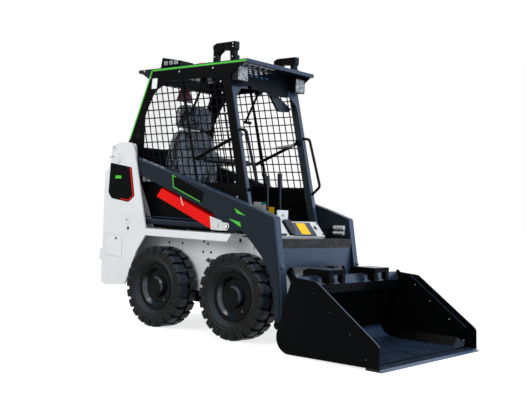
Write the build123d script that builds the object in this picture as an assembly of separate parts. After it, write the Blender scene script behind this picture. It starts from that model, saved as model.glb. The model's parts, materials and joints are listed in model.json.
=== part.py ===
from build123d import *
import math
import os

# A compact electric skid steer loader with a front bucket, as a weldment of separate pieces.
# Millimetres. +X forward, +Y to the operator's left, +Z up.
# The origin is on the ground, below the middle of the overall length and width.

# Widths that the rest follows: half the frame, and half the cab
FRAME_HALF_W = 305
CAB_HALF_W = 378

# Wheels and tyres
TYRE_R = 292
TYRE_W = 176
TYRE_GAP = 12
TYRE_OUT_Y = FRAME_HALF_W + TYRE_GAP + TYRE_W
TYRE_BEAD_R = 166
TYRE_BEAD_SETBACK = 30
CARCASS_R = 277
GROOVE_DEPTH = 4
SIDEWALL_R = 206
SIDEWALL_SETBACK = 3
LUGS_A_ROW = 22
LUG_LENGTH_Y = 79
LUG_SHARE = 0.78
LUG_FOOT_R = 251
WHEELBASE = 758
REAR_AXLE_X = -692
FRONT_AXLE_X = REAR_AXLE_X + WHEELBASE
RIM_GAP = 0.3
RIM_WALL = 9
HUB_CAP_R = 74
HUB_FACE_Y = TYRE_OUT_Y - 23
HUB_DEPTH = 34
DISC_PLATE = 12
AXLE_R = 48
HINGE_PIN_R = 5
RUN_GAP = 0.3

# Chassis
REAR_X = -1304
FRAME_PLATE = 12
FRAME_LOW_Z = 281
FRAME_TOP_Z = 708
BELLY_LOW_Z = 196
BELLY_HALF_W = FRAME_HALF_W - 35
BELLY_REAR_X = -975
FENDER_PLATE = 8
FENDER_LIP_Z = 657
FENDER_FRONT_X = 39
COVER_TOP = (172, 806)
COVER_LOW = (256, 706)
COVER_FOOT_X = 205

# Lift towers, with the arms between their plates
TOWER_PLATE = 12
TOWER_IN_PLATE = 6
TOWER_IN_Y = CAB_HALF_W + 1
ARM_GAP = 5
ARM_W = 62
ARM_IN_Y = TOWER_IN_Y + TOWER_IN_PLATE + ARM_GAP
ARM_OUT_Y = ARM_IN_Y + ARM_W
TOWER_OUT_Y = ARM_OUT_Y + 8 + TOWER_PLATE
TOWER_LOW_Z = 273
TOWER_BASE_Z = 716

# Rear door, hinged on the left of the hood by HINGES of (low z, top z)
DOOR_LOW_Z = 545
DOOR_TOP_Z = 1108
DOOR_PLATE = 8
LOUVRES = 6
LOUVRE_LOW_Z = 640
LOUVRE_PITCH = 34
LOUVRE_H = 14
LOUVRE_HALF_W = 220
HINGES = ((620, 680), (980, 1040))
HINGE_R = 9
HINGE_BRACKET_H = 14
HINGE_CLEAR_R = 25

# Lift arms, hinged at ARM_PIVOT, with the lift cylinder from LIFT_BASE to LIFT_EYE
ARM_PIVOT = (-1156, 1234)
LIFT_BASE = (-1022, 764)
LIFT_EYE = (-15, 755)
ARM_PLATE = 8
ARM_EDGE_R = 14
KNUCKLE_PLATE = 4
BRACE_WALL = 4
ARM_PIN_R = 25
LIFT_PIN_R = 18
PIN_GAP = 0.05
CROSS_X = 418
CROSS_PLATE = 10
CROSS_LOW_Z = 509
CROSS_TOP_Z = 696
CROSS_LEG_Z = 432
CROSS_LEG_W = 44
CROSS_ARCH_R = 38
GRIP_LOW_Z = 637

# Lift cylinders, one inside each arm's plates
LIFT_TUBE_R = 20
LIFT_ROD_R = 12
LIFT_TUBE_LENGTH = 868
LIFT_BOSS_R = 14
CYLINDER_WALL = 4
PISTON = 22
GLAND = 28
EYE_GAP = 5

# Bucket pivot, tilt cylinders from TILT_BASE on the cross member to TILT_EYE on the hitch
BUCKET_PIVOT = (452, 150)
TILT_BASE = (268, 632)
TILT_EYE = (495, 283)
TILT_Y = 230
TILT_TUBE_R = 23
TILT_ROD_R = 12
TILT_TUBE_LENGTH = 350
TILT_RETRACT = 32
TILT_EAR = 8
TILT_PIN_R = 13
HITCH_PIN_R = 20

# Bucket
BUCKET_HALF_W = 598
BUCKET_PLATE = 8
SIDE_PLATE = 8
LIP_X = 1334
EDGE_BACK_X = 1225
EDGE_THICK = 13
EDGE_LOW_Z = 2
HEEL_R = 100
BACK_LEAN = 0.2986
BACK_FOOT = (573, 144)
BACK_TOP_Z = 432
CHANNEL_X = 705
CHANNEL_LOW_Z = 425
CHANNEL_TOP_Z = 480
CHANNEL_LEAN = 14
LIP_BAND_Z = 368
GUSSET_H = 52
BRACKET_IN_Y = 170
BRACKET_W = 178
BRACKET_PLATE = 8
BRACKET_FRONT_X = 768
BRACKET_REAR_X = 562
BRACKET_TOP_Z = 521
BRACKET_LEG_W = 42
BRACKET_LOW_Z = 432

# Cab
CAB_PLATE = 6
ROOF_TOP_Z = 1902
ROOF_EDGE = 24
ROOF_FRONT_X = 30
ROOF_REAR_X = -1071
CAB_BACK_TOP = (-923, 1892)
CAB_BACK_LOW = (-1152, 1369)
POST_TOP = (-98, 1703)
POST_LOW = (97, 927)
POST_DEPTH = 60
POST_OUT_Y = CAB_HALF_W - 7
POST_IN_Y = POST_OUT_Y - 31
GUSSET_IN_Y = POST_IN_Y - 136
CAB_FLOOR_Z = 716.3
SILL_Z = 1048
GUARD_PITCH = 60
GUARD_WIRE = 8
GUARD_WIRE_DEPTH = 4
GUARD_TOP_Z = 1810
GUARD_LEAN = 0.2513
TUBE_W = 22
TUBE_DEPTH = 6
VISOR_ROWS = 5
VISOR_COLUMNS = 7
VISOR_PITCH = 59
LAMP_Y = CAB_HALF_W - 43
LAMP_TOP_Z = 2036

# Seat
SEAT_BACK_X = -839
SEAT_W = 450
SEAT_TOP_Z = 1012
SHOULDER_Z = 1460
HEADREST_Z = 1650
HEADREST_W = 300
LAP_PIVOT = (-52, 1390)

BOTH_SIDES = (-1, 1)
nodes = {}


def block(x_span, y_span, z_span):
    """A box between two x, two y and two z values."""
    spans = (x_span, y_span, z_span)
    centre = [(low + high) / 2 for low, high in spans]
    size = [high - low for low, high in spans]
    return Pos(*centre) * Box(*size)


def rounded_face(corners, y):
    """A face at one y, from corners of (x, z, radius)."""
    points = [(x, y, z) for x, z, radius in corners]
    radii = [radius for x, z, radius in corners]
    return make_face(FilletPolyline(*points, radius=radii, close=True))


def plate(corners, y_low, y_high):
    """A plate in the XZ plane from y_low to y_high, from corners of (x, z) or (x, z, radius)."""
    full = [corner if len(corner) == 3 else (*corner, 0) for corner in corners]
    return extrude(rounded_face(full, y_low), amount=y_high - y_low, dir=(0, 1, 0))


def drum(centre, y_low, y_high, radius):
    """A cylinder along Y about an (x, z) centre."""
    x, z = centre
    return Pos(x, (y_low + y_high) / 2, z) * Rot(90, 0, 0) * Cylinder(radius, y_high - y_low)


def ring(profile):
    """A body turned about the Y axis, from (radius, y) points."""
    face = make_face(Polyline(*[(radius, y, 0) for radius, y in profile], close=True))
    return revolve(face, Axis.Y)


def bar(start, end, radius):
    """A round bar between two points."""
    line = Edge.make_line(start, end)
    section = Plane(origin=start, z_dir=line % 0) * Circle(radius)
    return extrude(section, amount=line.length)


def mirrored(shape):
    """The same shape on the other side of the machine."""
    return mirror(shape, Plane.XZ)


def on_side(shape, side):
    """A shape modelled on the left, put on the wanted side."""
    return shape if side > 0 else mirrored(shape)


def along(start, end, distance):
    """The point at a distance from start towards end, in XZ."""
    length = math.dist(start, end)
    return tuple(s + (e - s) * distance / length for s, e in zip(start, end))


def post_x(z, offset=0):
    """The front edge of the cab's front posts at a height."""
    slope = (POST_TOP[0] - POST_LOW[0]) / (POST_TOP[1] - POST_LOW[1])
    return POST_LOW[0] + (z - POST_LOW[1]) * slope + offset


def cab_back_x(z):
    """The rear edge of the cab's sides at a height."""
    slope = (CAB_BACK_TOP[0] - CAB_BACK_LOW[0]) / (CAB_BACK_TOP[1] - CAB_BACK_LOW[1])
    return CAB_BACK_TOP[0] + (z - CAB_BACK_TOP[1]) * slope


def bucket_back_x(z, offset=0):
    """The rear face of the bucket's back plate at a height."""
    return BACK_FOOT[0] + (z - BACK_FOOT[1]) * BACK_LEAN + offset


# Wheels


def faceted_drum(low, high):
    """A drum or cone about the Y axis with a flat side for each lug of a row, between two (radius, y) ends."""
    rings = []
    for radius, y in (low, high):
        corner_r = radius / math.cos(math.pi / LUGS_A_ROW)
        angles = [2 * math.pi * index / LUGS_A_ROW for index in range(LUGS_A_ROW)]
        rings.append([(corner_r * math.sin(angle), y, corner_r * math.cos(angle)) for angle in angles])
    outlines = list(rings)
    for index in range(LUGS_A_ROW):
        after = (index + 1) % LUGS_A_ROW
        outlines.append([rings[0][index], rings[0][after], rings[1][after], rings[1][index]])
    return Solid(Shell([make_face(Polyline(*outline, close=True)).face() for outline in outlines]))


def lug_row(y_low, y_high, shift):
    """A toothed disc about the Y axis, one tooth for each lug of a row, shifted by a share of the pitch."""
    points = []
    for index in range(LUGS_A_ROW):
        for flank, radii in ((-LUG_SHARE / 2, (CARCASS_R, TYRE_R)), (LUG_SHARE / 2, (TYRE_R, CARCASS_R))):
            angle = 2 * math.pi * (index + shift + flank) / LUGS_A_ROW
            points += [(radius * math.sin(angle), y_low, radius * math.cos(angle)) for radius in radii]
    return extrude(make_face(Polyline(*points, close=True)), amount=y_high - y_low, dir=(0, 1, 0))


def tyre():
    """A tyre about the Y axis with two staggered rows of blocks, all of flat facets."""
    half = TYRE_W / 2
    inner = half - LUG_LENGTH_Y
    groove_r = CARCASS_R - GROOVE_DEPTH
    body = lug_row(-half, -inner, 0) + lug_row(inner, half, 0.5)
    body += faceted_drum((groove_r, -inner), (groove_r, inner))
    body -= faceted_drum((TYRE_BEAD_R, -half), (TYRE_BEAD_R, half))
    for side in BOTH_SIDES:
        wall_y = side * (half - SIDEWALL_SETBACK)
        bead_y = side * (half - TYRE_BEAD_SETBACK)
        body -= faceted_drum((LUG_FOOT_R, wall_y), (LUG_FOOT_R, side * half))
        body -= faceted_drum((TYRE_BEAD_R, bead_y), (SIDEWALL_R, wall_y))
    return body


def rim():
    """A deep dished wheel about the Y axis, its outer face towards +Y."""
    half = TYRE_W / 2
    seat = TYRE_BEAD_R - RIM_GAP
    hub_y = HUB_FACE_Y - (TYRE_OUT_Y - half)
    disc_y = hub_y - HUB_DEPTH
    return ring([
        (0, disc_y - DISC_PLATE), (seat - 34, disc_y - DISC_PLATE), (seat - 20, -half + 24), (seat, -half + 24),
        (seat, half - 26), (seat - RIM_WALL, half - 26), (seat - RIM_WALL - 22, disc_y + 30),
        (seat - RIM_WALL - 44, disc_y), (HUB_CAP_R + 6, disc_y), (HUB_CAP_R, hub_y - 10),
        (HUB_CAP_R - 14, hub_y), (0, hub_y)])


def build_wheels():
    left_tyre = tyre()
    left_rim = rim()
    mid_y = TYRE_OUT_Y - TYRE_W / 2
    places = (("front", FRONT_AXLE_X), ("rear", REAR_AXLE_X))
    for end, x in places:
        for side, name in zip(BOTH_SIDES, ("right", "left")):
            for kind, shape in (("tyre", left_tyre), ("rim", left_rim)):
                nodes[f"{kind}_{end}_{name}"] = on_side(Pos(x, mid_y, TYRE_R) * shape, side)


# Chassis


def build_chassis():
    inner = FRAME_HALF_W - FRAME_PLATE
    outline = [
        (REAR_X + 12, FRAME_LOW_Z), (REAR_X + 12, FRAME_TOP_Z), (-45, FRAME_TOP_Z),
        (141, 569), (368, 500, 12), (402, 325, 20), (392, FRAME_LOW_Z, 10)]
    frame = plate(outline, inner, FRAME_HALF_W) + plate(outline, -FRAME_HALF_W, -inner)
    frame += block((REAR_X + 12, 250), (-inner, inner), (FRAME_LOW_Z, FRAME_LOW_Z + FRAME_PLATE))
    frame += block((REAR_X + 12, REAR_X + 24), (-inner, inner), (FRAME_LOW_Z, 540))
    frame += block((238, 250), (-inner, inner), (FRAME_LOW_Z, 560))
    for x in (REAR_AXLE_X, FRONT_AXLE_X):
        for side in BOTH_SIDES:
            ends = sorted((side * inner, side * (FRAME_HALF_W + 10)))
            frame += drum((x, TYRE_R), *ends, AXLE_R + 22)
            frame -= drum((x, TYRE_R), *sorted((side * FRAME_HALF_W, side * (FRAME_HALF_W + 11))), AXLE_R)
    hole_places = ((-730, 609), (-589, 611), (-371, 635), (-331, 622), (-375, 561), (-298, 563))
    for hole in hole_places:
        frame -= drum(hole, -FRAME_HALF_W - 1, FRAME_HALF_W + 1, 9)
    nodes["main_frame"] = frame

    belly = [
        (BELLY_REAR_X, FRAME_LOW_Z - RUN_GAP), (BELLY_REAR_X + 45, BELLY_LOW_Z), (210, BELLY_LOW_Z),
        (290, FRAME_LOW_Z - RUN_GAP)]
    pan = plate(belly, -BELLY_HALF_W, BELLY_HALF_W)
    wall = 6
    hollow = [(BELLY_REAR_X + 6, FRAME_LOW_Z), (BELLY_REAR_X + 49, BELLY_LOW_Z + wall),
              (207, BELLY_LOW_Z + wall), (281, FRAME_LOW_Z)]
    nodes["belly_pan"] = pan - plate(hollow, wall - BELLY_HALF_W, BELLY_HALF_W - wall)

    nodes["battery_block"] = block((-1272, -1030), (35 - FRAME_HALF_W, FRAME_HALF_W - 35),
                                   (FRAME_LOW_Z + FRAME_PLATE + RUN_GAP, 1080))

    stubs = []
    for x in (REAR_AXLE_X, FRONT_AXLE_X):
        for side in BOTH_SIDES:
            y_ends = sorted((side * FRAME_HALF_W, side * (HUB_FACE_Y - HUB_DEPTH - DISC_PLATE - RUN_GAP)))
            stubs.append(drum((x, TYRE_R), *y_ends, AXLE_R))
    nodes["axle_stubs"] = stubs


def build_fenders():
    low = FRAME_TOP_Z - FENDER_PLATE
    top = plate([(-815, low), (-815, FRAME_TOP_Z), (FENDER_FRONT_X, FRAME_TOP_Z), (34, low)],
                FRAME_HALF_W, TOWER_OUT_Y)
    lip = plate([(-815, FENDER_LIP_Z), (-815, low), (34, low), (3, FENDER_LIP_Z)],
                TOWER_OUT_Y - FENDER_PLATE, TOWER_OUT_Y)
    ledge = block((FENDER_FRONT_X - 8, 98), (FRAME_HALF_W + 0.3, FRAME_HALF_W + 50), (low, FRAME_TOP_Z))
    fender = top + lip + ledge
    nodes["fenders"] = [fender, mirrored(fender)]


def build_towers():
    outer = [
        (REAR_X, TOWER_LOW_Z), (REAR_X, 1131), (-1268, 1140, 10), (-1240, 1228, 20), (-1232, 1324, 12),
        (-1120, 1349, 40), (-1005, 1341, 30), (-969, 1267, 60), (-816, 708, 20), (-816, 657),
        (-906, 538, 150), (-1025, 277, 20), (-1247, 257, 10)]
    inner = [
        (REAR_X, TOWER_BASE_Z), (REAR_X, 1131), (-1262, 1131), (-1227, 1228, 20), (-1232, 1324, 12),
        (-1120, 1349, 40), (-1060, 1341, 30), (-1015, 1094, 60), (-871, 811, 30), (-830, TOWER_BASE_Z)]
    outer_in = TOWER_OUT_Y - TOWER_PLATE
    inner_out = TOWER_IN_Y + TOWER_IN_PLATE
    tower = plate(outer, outer_in, TOWER_OUT_Y)
    tower += plate(inner, TOWER_IN_Y, inner_out)
    tower += block((REAR_X, REAR_X + 8), (TOWER_IN_Y, TOWER_OUT_Y), (300, 1120))
    tower += block((REAR_X, -830), (FRAME_HALF_W - FRAME_PLATE, outer_in), (FRAME_TOP_Z + RUN_GAP, TOWER_BASE_Z))
    tower += block((REAR_X, -1060), (FRAME_HALF_W + RUN_GAP, outer_in), (300, 310))
    tower += drum(ARM_PIVOT, TOWER_IN_Y, TOWER_OUT_Y + 8, ARM_PIN_R)
    tower += drum(ARM_PIVOT, TOWER_OUT_Y, TOWER_OUT_Y + 6, 46)
    tower += drum(LIFT_BASE, TOWER_IN_Y, TOWER_OUT_Y + 6, LIFT_PIN_R)
    tower += drum(LIFT_BASE, TOWER_OUT_Y, TOWER_OUT_Y + 5, 30)
    for boss in ((-1204, 1308), (-1214, 1238)):
        tower += drum(boss, TOWER_OUT_Y, TOWER_OUT_Y + 4, 22)
    tower -= drum((-1010, 700), outer_in - 1, TOWER_OUT_Y + 1, 13)
    nodes["tower_left"] = tower
    nodes["tower_right"] = mirrored(tower)


def build_rear():
    hood_low = TOWER_BASE_Z + RUN_GAP
    wall = 5
    half = TOWER_IN_Y - 6
    hood = block((REAR_X + 3, -1010), (-half, half), (hood_low, 1118))
    hood -= block((REAR_X, -1010 - wall), (-half + wall, half - wall), (hood_low - 1, 1118 - wall))
    bumper = plate([
        (REAR_X - 28, 442, 10), (REAR_X - 28, 528, 10), (REAR_X - RUN_GAP, 528),
        (REAR_X - RUN_GAP, 442)],
        -TOWER_OUT_Y, TOWER_OUT_Y)
    nodes["rear_bumper"] = bumper

    hinge = (REAR_X - 14, half + 2)
    door = block((REAR_X - 4 - DOOR_PLATE, REAR_X - 4), (-half, half - 8), (DOOR_LOW_Z, DOOR_TOP_Z))
    for row in range(LOUVRES):
        z = LOUVRE_LOW_Z + row * LOUVRE_PITCH
        door -= block((REAR_X - 20, REAR_X), (-LOUVRE_HALF_W, LOUVRE_HALF_W), (z, z + LOUVRE_H))
    for low, high in HINGES:
        middle = (low + high) / 2
        door += block((REAR_X - 14, REAR_X - 8), (half - 40, half - 1), (low, high))
        for z in (low - HINGE_BRACKET_H, high + RUN_GAP):
            bracket_top = z + HINGE_BRACKET_H - RUN_GAP
            hood += block((hinge[0] - 7, REAR_X + 4), (hinge[1] - 9, hinge[1] + 3), (z, bracket_top))
            door -= Pos(*hinge, z + HINGE_BRACKET_H / 2) * Cylinder(HINGE_CLEAR_R, HINGE_BRACKET_H + 6)
        door += Pos(*hinge, middle) * Cylinder(HINGE_R, high - low)
        door -= Pos(*hinge, middle) * Cylinder(HINGE_PIN_R + PIN_GAP, high - low + 2)
        hood += Pos(*hinge, middle) * Cylinder(HINGE_PIN_R, high - low + 20)
    nodes["rear_hood"] = hood
    pull = block((REAR_X - 26, REAR_X - 12), (-half + 30, -half + 50), (800, 900))
    door += pull
    nodes["rear_door"] = door

    hook = plate([
        (-1049, 249, 8), (-984, 249, 8), (-984, 270), (-1020, 281), (-1049, 281)], -20, 20)
    nodes["tow_hook"] = hook - drum((-1014, 265), -21, 21, 6)


def build_front():
    def on_slope(distance, height):
        """A point down the sloping cover from its top edge, and above its face."""
        down = (COVER_LOW[0] - COVER_TOP[0], COVER_LOW[1] - COVER_TOP[1])
        length = math.hypot(*down)
        along_x, along_z = down[0] / length, down[1] / length
        return (COVER_TOP[0] + distance * along_x - height * along_z,
                COVER_TOP[1] + distance * along_z + height * along_x)

    inner = FRAME_HALF_W - FRAME_PLATE - RUN_GAP
    slope_length = math.dist(COVER_TOP, COVER_LOW)
    cover = [
        on_slope(0, 0), on_slope(slope_length, 0), (COVER_FOOT_X, 606), (COVER_FOOT_X, 560),
        (COVER_FOOT_X - 5, 560), (COVER_FOOT_X - 5, 606), on_slope(slope_length - 4, -5),
        on_slope(0, -5)]
    cheek = [
        on_slope(0, 0), on_slope(slope_length, 0), (COVER_FOOT_X, 606), (COVER_FOOT_X, 562),
        (150, 500), (60, 500), (60, 700, 30), (150, COVER_TOP[1])]
    front = plate(cover, -inner, inner) + plate(cheek, inner - 10, inner) + plate(cheek, -inner, 10 - inner)
    nodes["front_cover"] = front
    step = [
        on_slope(14, RUN_GAP), on_slope(slope_length - 2, RUN_GAP), on_slope(slope_length - 2, 8),
        on_slope(14, 8)]
    nodes["front_step"] = plate(step, -60, 190)
    back_x = on_slope(0, -5)[0] - RUN_GAP
    bracket = block((back_x - 8, back_x), (-147, -33), (795, 882))
    nodes["front_bracket"] = bracket - drum((back_x - 4, 845), -100, -80, 8)


# Cab


def build_cab():
    inner = CAB_HALF_W - CAB_PLATE
    low = CAB_FLOOR_Z
    head = ROOF_TOP_Z - ROOF_EDGE - RUN_GAP
    outline = [
        (cab_back_x(1140), 1140), CAB_BACK_LOW, (cab_back_x(head), head), (ROOF_FRONT_X - 30, head),
        (post_x(1790, -2), 1790), (post_x(low, -2), low), (-1008, low), (-1008, 1140)]
    opening = [
        (-980, SILL_Z), (-980, 1560, 140), (-880, 1735, 160), (-720, 1797, 120),
        (post_x(1797, -POST_DEPTH - 12), 1797, 20), (post_x(SILL_Z, -POST_DEPTH - 12), SILL_Z, 20)]
    panel = plate(outline, inner, CAB_HALF_W) - plate(opening, inner - 1, CAB_HALF_W + 1)
    recess = drum((-1048, 1402), CAB_HALF_W - 3, CAB_HALF_W + 1, 55)
    recess -= drum((-1048, 1402), CAB_HALF_W - 4, CAB_HALF_W + 2, 47)
    panel -= recess
    nodes["cab_side_left"] = panel
    nodes["cab_side_right"] = mirrored(panel)

    net = [
        (-995, SILL_Z - 14), (-995, 1700), (cab_back_x(GUARD_TOP_Z) + 12, GUARD_TOP_Z),
        (post_x(GUARD_TOP_Z, -POST_DEPTH - RUN_GAP), GUARD_TOP_Z),
        (post_x(SILL_Z - 14, -POST_DEPTH - RUN_GAP), SILL_Z - 14)]
    y_out = inner - RUN_GAP
    wires = []
    height = GUARD_TOP_Z - SILL_Z + 14
    for index in range(21):
        x = -1000 + index * GUARD_PITCH
        lean = [(x, SILL_Z - 14), (x + GUARD_WIRE, SILL_Z - 14),
                (x + GUARD_WIRE - height * GUARD_LEAN, GUARD_TOP_Z), (x - height * GUARD_LEAN, GUARD_TOP_Z)]
        wire = plate(lean, y_out - GUARD_WIRE_DEPTH, y_out) & plate(net, y_out - GUARD_WIRE_DEPTH, y_out)
        if wire is not None and wire.solids():
            wires += list(wire.solids())
    rows = int(height / GUARD_PITCH) + 1
    row_y = y_out - GUARD_WIRE_DEPTH - RUN_GAP
    for index in range(rows):
        z = SILL_Z + index * GUARD_PITCH
        if z + GUARD_WIRE > GUARD_TOP_Z:
            continue
        row = block((-1000, 200), (row_y - GUARD_WIRE_DEPTH, row_y), (z, z + GUARD_WIRE))
        wires += list((row & plate(net, y_out - 9, y_out)).solids())
    nodes["side_guard_left"] = wires
    nodes["side_guard_right"] = [mirrored(wire) for wire in wires]

    tube_y = CAB_HALF_W + TUBE_DEPTH / 2 + RUN_GAP
    tube_path = FilletPolyline(
        (-908, tube_y, 1842), (-606, tube_y, 1842), (-386, tube_y, 1055), radius=30)
    section = Plane(origin=tube_path @ 0, x_dir=(0, 1, 0), z_dir=tube_path % 0) * Rectangle(TUBE_DEPTH, TUBE_W)
    tube = sweep(section, path=tube_path)
    nodes["side_tubes"] = [tube, mirrored(tube)]

    posts = []
    for side in BOTH_SIDES:
        post = plate([
            (post_x(low), low), (post_x(head), head), (post_x(head, -POST_DEPTH), head),
            (post_x(low, -POST_DEPTH), low)], POST_IN_Y, POST_OUT_Y)
        posts.append(on_side(post, side))
    header = plate([
        (post_x(1790), 1790), (post_x(head), head), (post_x(head, -POST_DEPTH), head),
        (post_x(1790, -POST_DEPTH), 1790)], -POST_IN_Y, POST_IN_Y)
    frame = header + posts
    for side in BOTH_SIDES:
        corners = [(side * POST_IN_Y, 1790), (side * GUSSET_IN_Y, 1790), (side * GUSSET_IN_Y, 1726),
                   (side * (POST_IN_Y - 66), 1722), (side * (POST_IN_Y - 10), 1666),
                   (side * POST_IN_Y, 1610)]
        wedge = extrude(make_face(Polyline(*[(0, y, z) for y, z in corners], close=True)),
                        amount=400, dir=(-1, 0, 0))
        slab = plate([(post_x(1600), 1600), (post_x(1790), 1790), (post_x(1790, -8), 1790),
                      (post_x(1600, -8), 1600)], -POST_IN_Y, POST_IN_Y)
        frame += Pos(200, 0, 0) * wedge & slab
    nodes["cab_posts"] = frame

    back_in = CAB_HALF_W - CAB_PLATE - RUN_GAP
    rear = [(cab_back_x(1140), 1140), (cab_back_x(head), head), (cab_back_x(head) + 7, head),
            (cab_back_x(1140) + 7, 1140)]
    window = [(cab_back_x(1330) - 9, 1330), (cab_back_x(1800) - 9, 1800), (cab_back_x(1800) + 16, 1800),
              (cab_back_x(1330) + 16, 1330)]
    nodes["cab_rear"] = plate(rear, -back_in, back_in) - plate(window, -back_in + 60, back_in - 60)
    glass = [(cab_back_x(1310) + 7.3, 1310), (cab_back_x(1820) + 7.3, 1820),
             (cab_back_x(1820) + 12.3, 1820), (cab_back_x(1310) + 12.3, 1310)]
    nodes["rear_window"] = plate(glass, -back_in + 40, back_in - 40)

    build_roof()
    build_floor()


def build_roof():
    half = CAB_HALF_W
    head = ROOF_TOP_Z - ROOF_EDGE - RUN_GAP
    top = block((ROOF_REAR_X, ROOF_FRONT_X), (-half, half), (ROOF_TOP_Z - ROOF_EDGE, ROOF_TOP_Z))
    top -= block((ROOF_REAR_X + 8, ROOF_FRONT_X - 8), (-half + 8, half - 8),
                 (ROOF_TOP_Z - ROOF_EDGE - 1, ROOF_TOP_Z - 6))
    for row in range(VISOR_ROWS):
        for column in range(VISOR_COLUMNS):
            x = ROOF_FRONT_X - 42 - row * VISOR_PITCH
            y = 54 - half + column * VISOR_PITCH
            top -= block((x - 28, x), (y - 20, y + 20), (ROOF_TOP_Z - 8, ROOF_TOP_Z + 1))
    for side in BOTH_SIDES:
        brace = plate([(cab_back_x(1826), 1826), (cab_back_x(head), head), (ROOF_REAR_X + 30, head)],
                      *sorted((side * (half - 6), side * half)))
        top += Pos(0, 0, RUN_GAP) * brace
    nodes["cab_roof"] = top

    lamps = []
    for side in BOTH_SIDES:
        lamp = block((-100, -52), (POST_OUT_Y - 105, POST_OUT_Y), (1762, 1864))
        lamp += plate([(post_x(1796, RUN_GAP), 1796), (post_x(1846, RUN_GAP), 1846), (-99, 1846),
                       (-99, 1796)], POST_IN_Y - 44, POST_IN_Y - 14)
        lamps.append(on_side(lamp, side))
    nodes["headlamps"] = lamps

    stands = []
    foot = ROOF_TOP_Z + RUN_GAP
    for side in BOTH_SIDES:
        y_span = sorted((side * (LAMP_Y - 22), side * (LAMP_Y + 22)))
        lamp = plate([(-312, 1994), (-312, 2022, 12), (-280, LAMP_TOP_Z, 12), (-144, LAMP_TOP_Z),
                      (-144, 1978)], *y_span)
        lamp += plate([(-306, foot), (-306, 1996), (-232, 1984), (-272, 1960, 20), (-276, foot)], *y_span)
        lamp += plate([(-141, foot), (-150, LAMP_TOP_Z - 40), (-150, LAMP_TOP_Z), (-100, LAMP_TOP_Z), (-100, 1985),
                       (-112, 1975), (-112, 1950), (-94, 1940), (-94, foot)], *y_span)
        stands.append(lamp)
    rear_lamp = plate([(-993, 1930), (-974, 2016, 6), (-777, 1980, 6), (-775, 1930)], -230, -90)
    stands.append(rear_lamp + block((-960, -800), (-200, -120), (foot, 1931)))
    nodes["roof_lamps"] = stands

    nodes["beacon"] = Pos(-770, 0, foot + 36) * Cylinder(42, 72) + Pos(-770, 0, foot + 82) * Cone(42, 26, 20)

    handles = []
    low = 900
    high = 1500
    for side in BOTH_SIDES:
        y = side * (POST_OUT_Y - 16)
        path = FilletPolyline((post_x(1423, -8), y, 1423), (31, y, 1416), (146, y, 1065),
                              (post_x(1000, -8), y, 1000), radius=[28, 28])
        section = Plane(origin=path @ 0, z_dir=path % 0) * Circle(10)
        handle = sweep(section, path=path)
        behind = plate([(post_x(low, RUN_GAP), low), (post_x(high, RUN_GAP), high), (-400, high), (-400, low)],
                       -CAB_HALF_W, CAB_HALF_W)
        handles.append(handle - behind)
    nodes["grab_handles"] = handles


def build_floor():
    inner = FRAME_HALF_W - FRAME_PLATE - RUN_GAP
    floor = plate([
        (-1000, CAB_FLOOR_Z), (-1000, CAB_FLOOR_Z + 6), (-254, CAB_FLOOR_Z + 6), (-254, 486),
        (150, 486), (222, 560), (222, 550), (154, 480), (-260, 480), (-260, CAB_FLOOR_Z)],
        -inner, inner)
    nodes["cab_floor"] = floor

    nodes["seat_base"] = block((-830, -420), (-200, 200), (CAB_FLOOR_Z + 6.3, 900))
    cushion = block((SEAT_BACK_X, -370), (-SEAT_W / 2, SEAT_W / 2), (900.3, SEAT_TOP_Z))
    nodes["seat_cushion"] = fillet(cushion.edges(), 24)
    half = SEAT_W / 2
    back_points = [(-half, SEAT_TOP_Z + RUN_GAP), (-half, SHOULDER_Z), (-HEADREST_W / 2, SHOULDER_Z + 30),
                   (-HEADREST_W / 2, HEADREST_Z), (HEADREST_W / 2, HEADREST_Z),
                   (HEADREST_W / 2, SHOULDER_Z + 30), (half, SHOULDER_Z), (half, SEAT_TOP_Z + RUN_GAP)]
    face = make_face(Polyline(*[(SEAT_BACK_X - 45, y, z) for y, z in back_points], close=True))
    nodes["seat_back"] = extrude(face, amount=90, dir=(1, 0, 0))

    levers = []
    for side in BOTH_SIDES:
        y = side * 70
        lever = bar((30, y, 495), (0, y, 1040), 9) + bar((0, y, 1035), (-4, y, 1120), 17)
        levers.append(lever + block((0, 60), (y - 22, y + 22), (486 + RUN_GAP, 504)))
    nodes["control_levers"] = levers

    struts = []
    for side in BOTH_SIDES:
        y = CAB_HALF_W - 78
        wire_in = CAB_HALF_W - CAB_PLATE - 8.8
        strut = bar((-447, y, 1775), (-567, y, 1560), 9)
        strut += bar((-567, y - 10, 1560), (-567, wire_in, 1560), 12)
        strut += block((-470, -424), (y - 15, y + 15), (1765, ROOF_TOP_Z - 6 - RUN_GAP))
        struts.append(on_side(strut, side))
    nodes["cab_struts"] = struts

    bar_y = POST_IN_Y - 12
    pivot = LAP_PIVOT
    frame = None
    for side in BOTH_SIDES:
        arm = bar((pivot[0], side * bar_y, pivot[1]), (-462, side * bar_y, 1230), 12)
        arm += drum(pivot, *sorted((side * (bar_y - 14), side * (POST_IN_Y - RUN_GAP))), 20)
        frame = arm if frame is None else frame + arm
    nodes["lap_bar"] = frame + bar((-462, -bar_y - 12, 1230), (-462, bar_y + 12, 1230), 12)


# Lift arms


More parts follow.
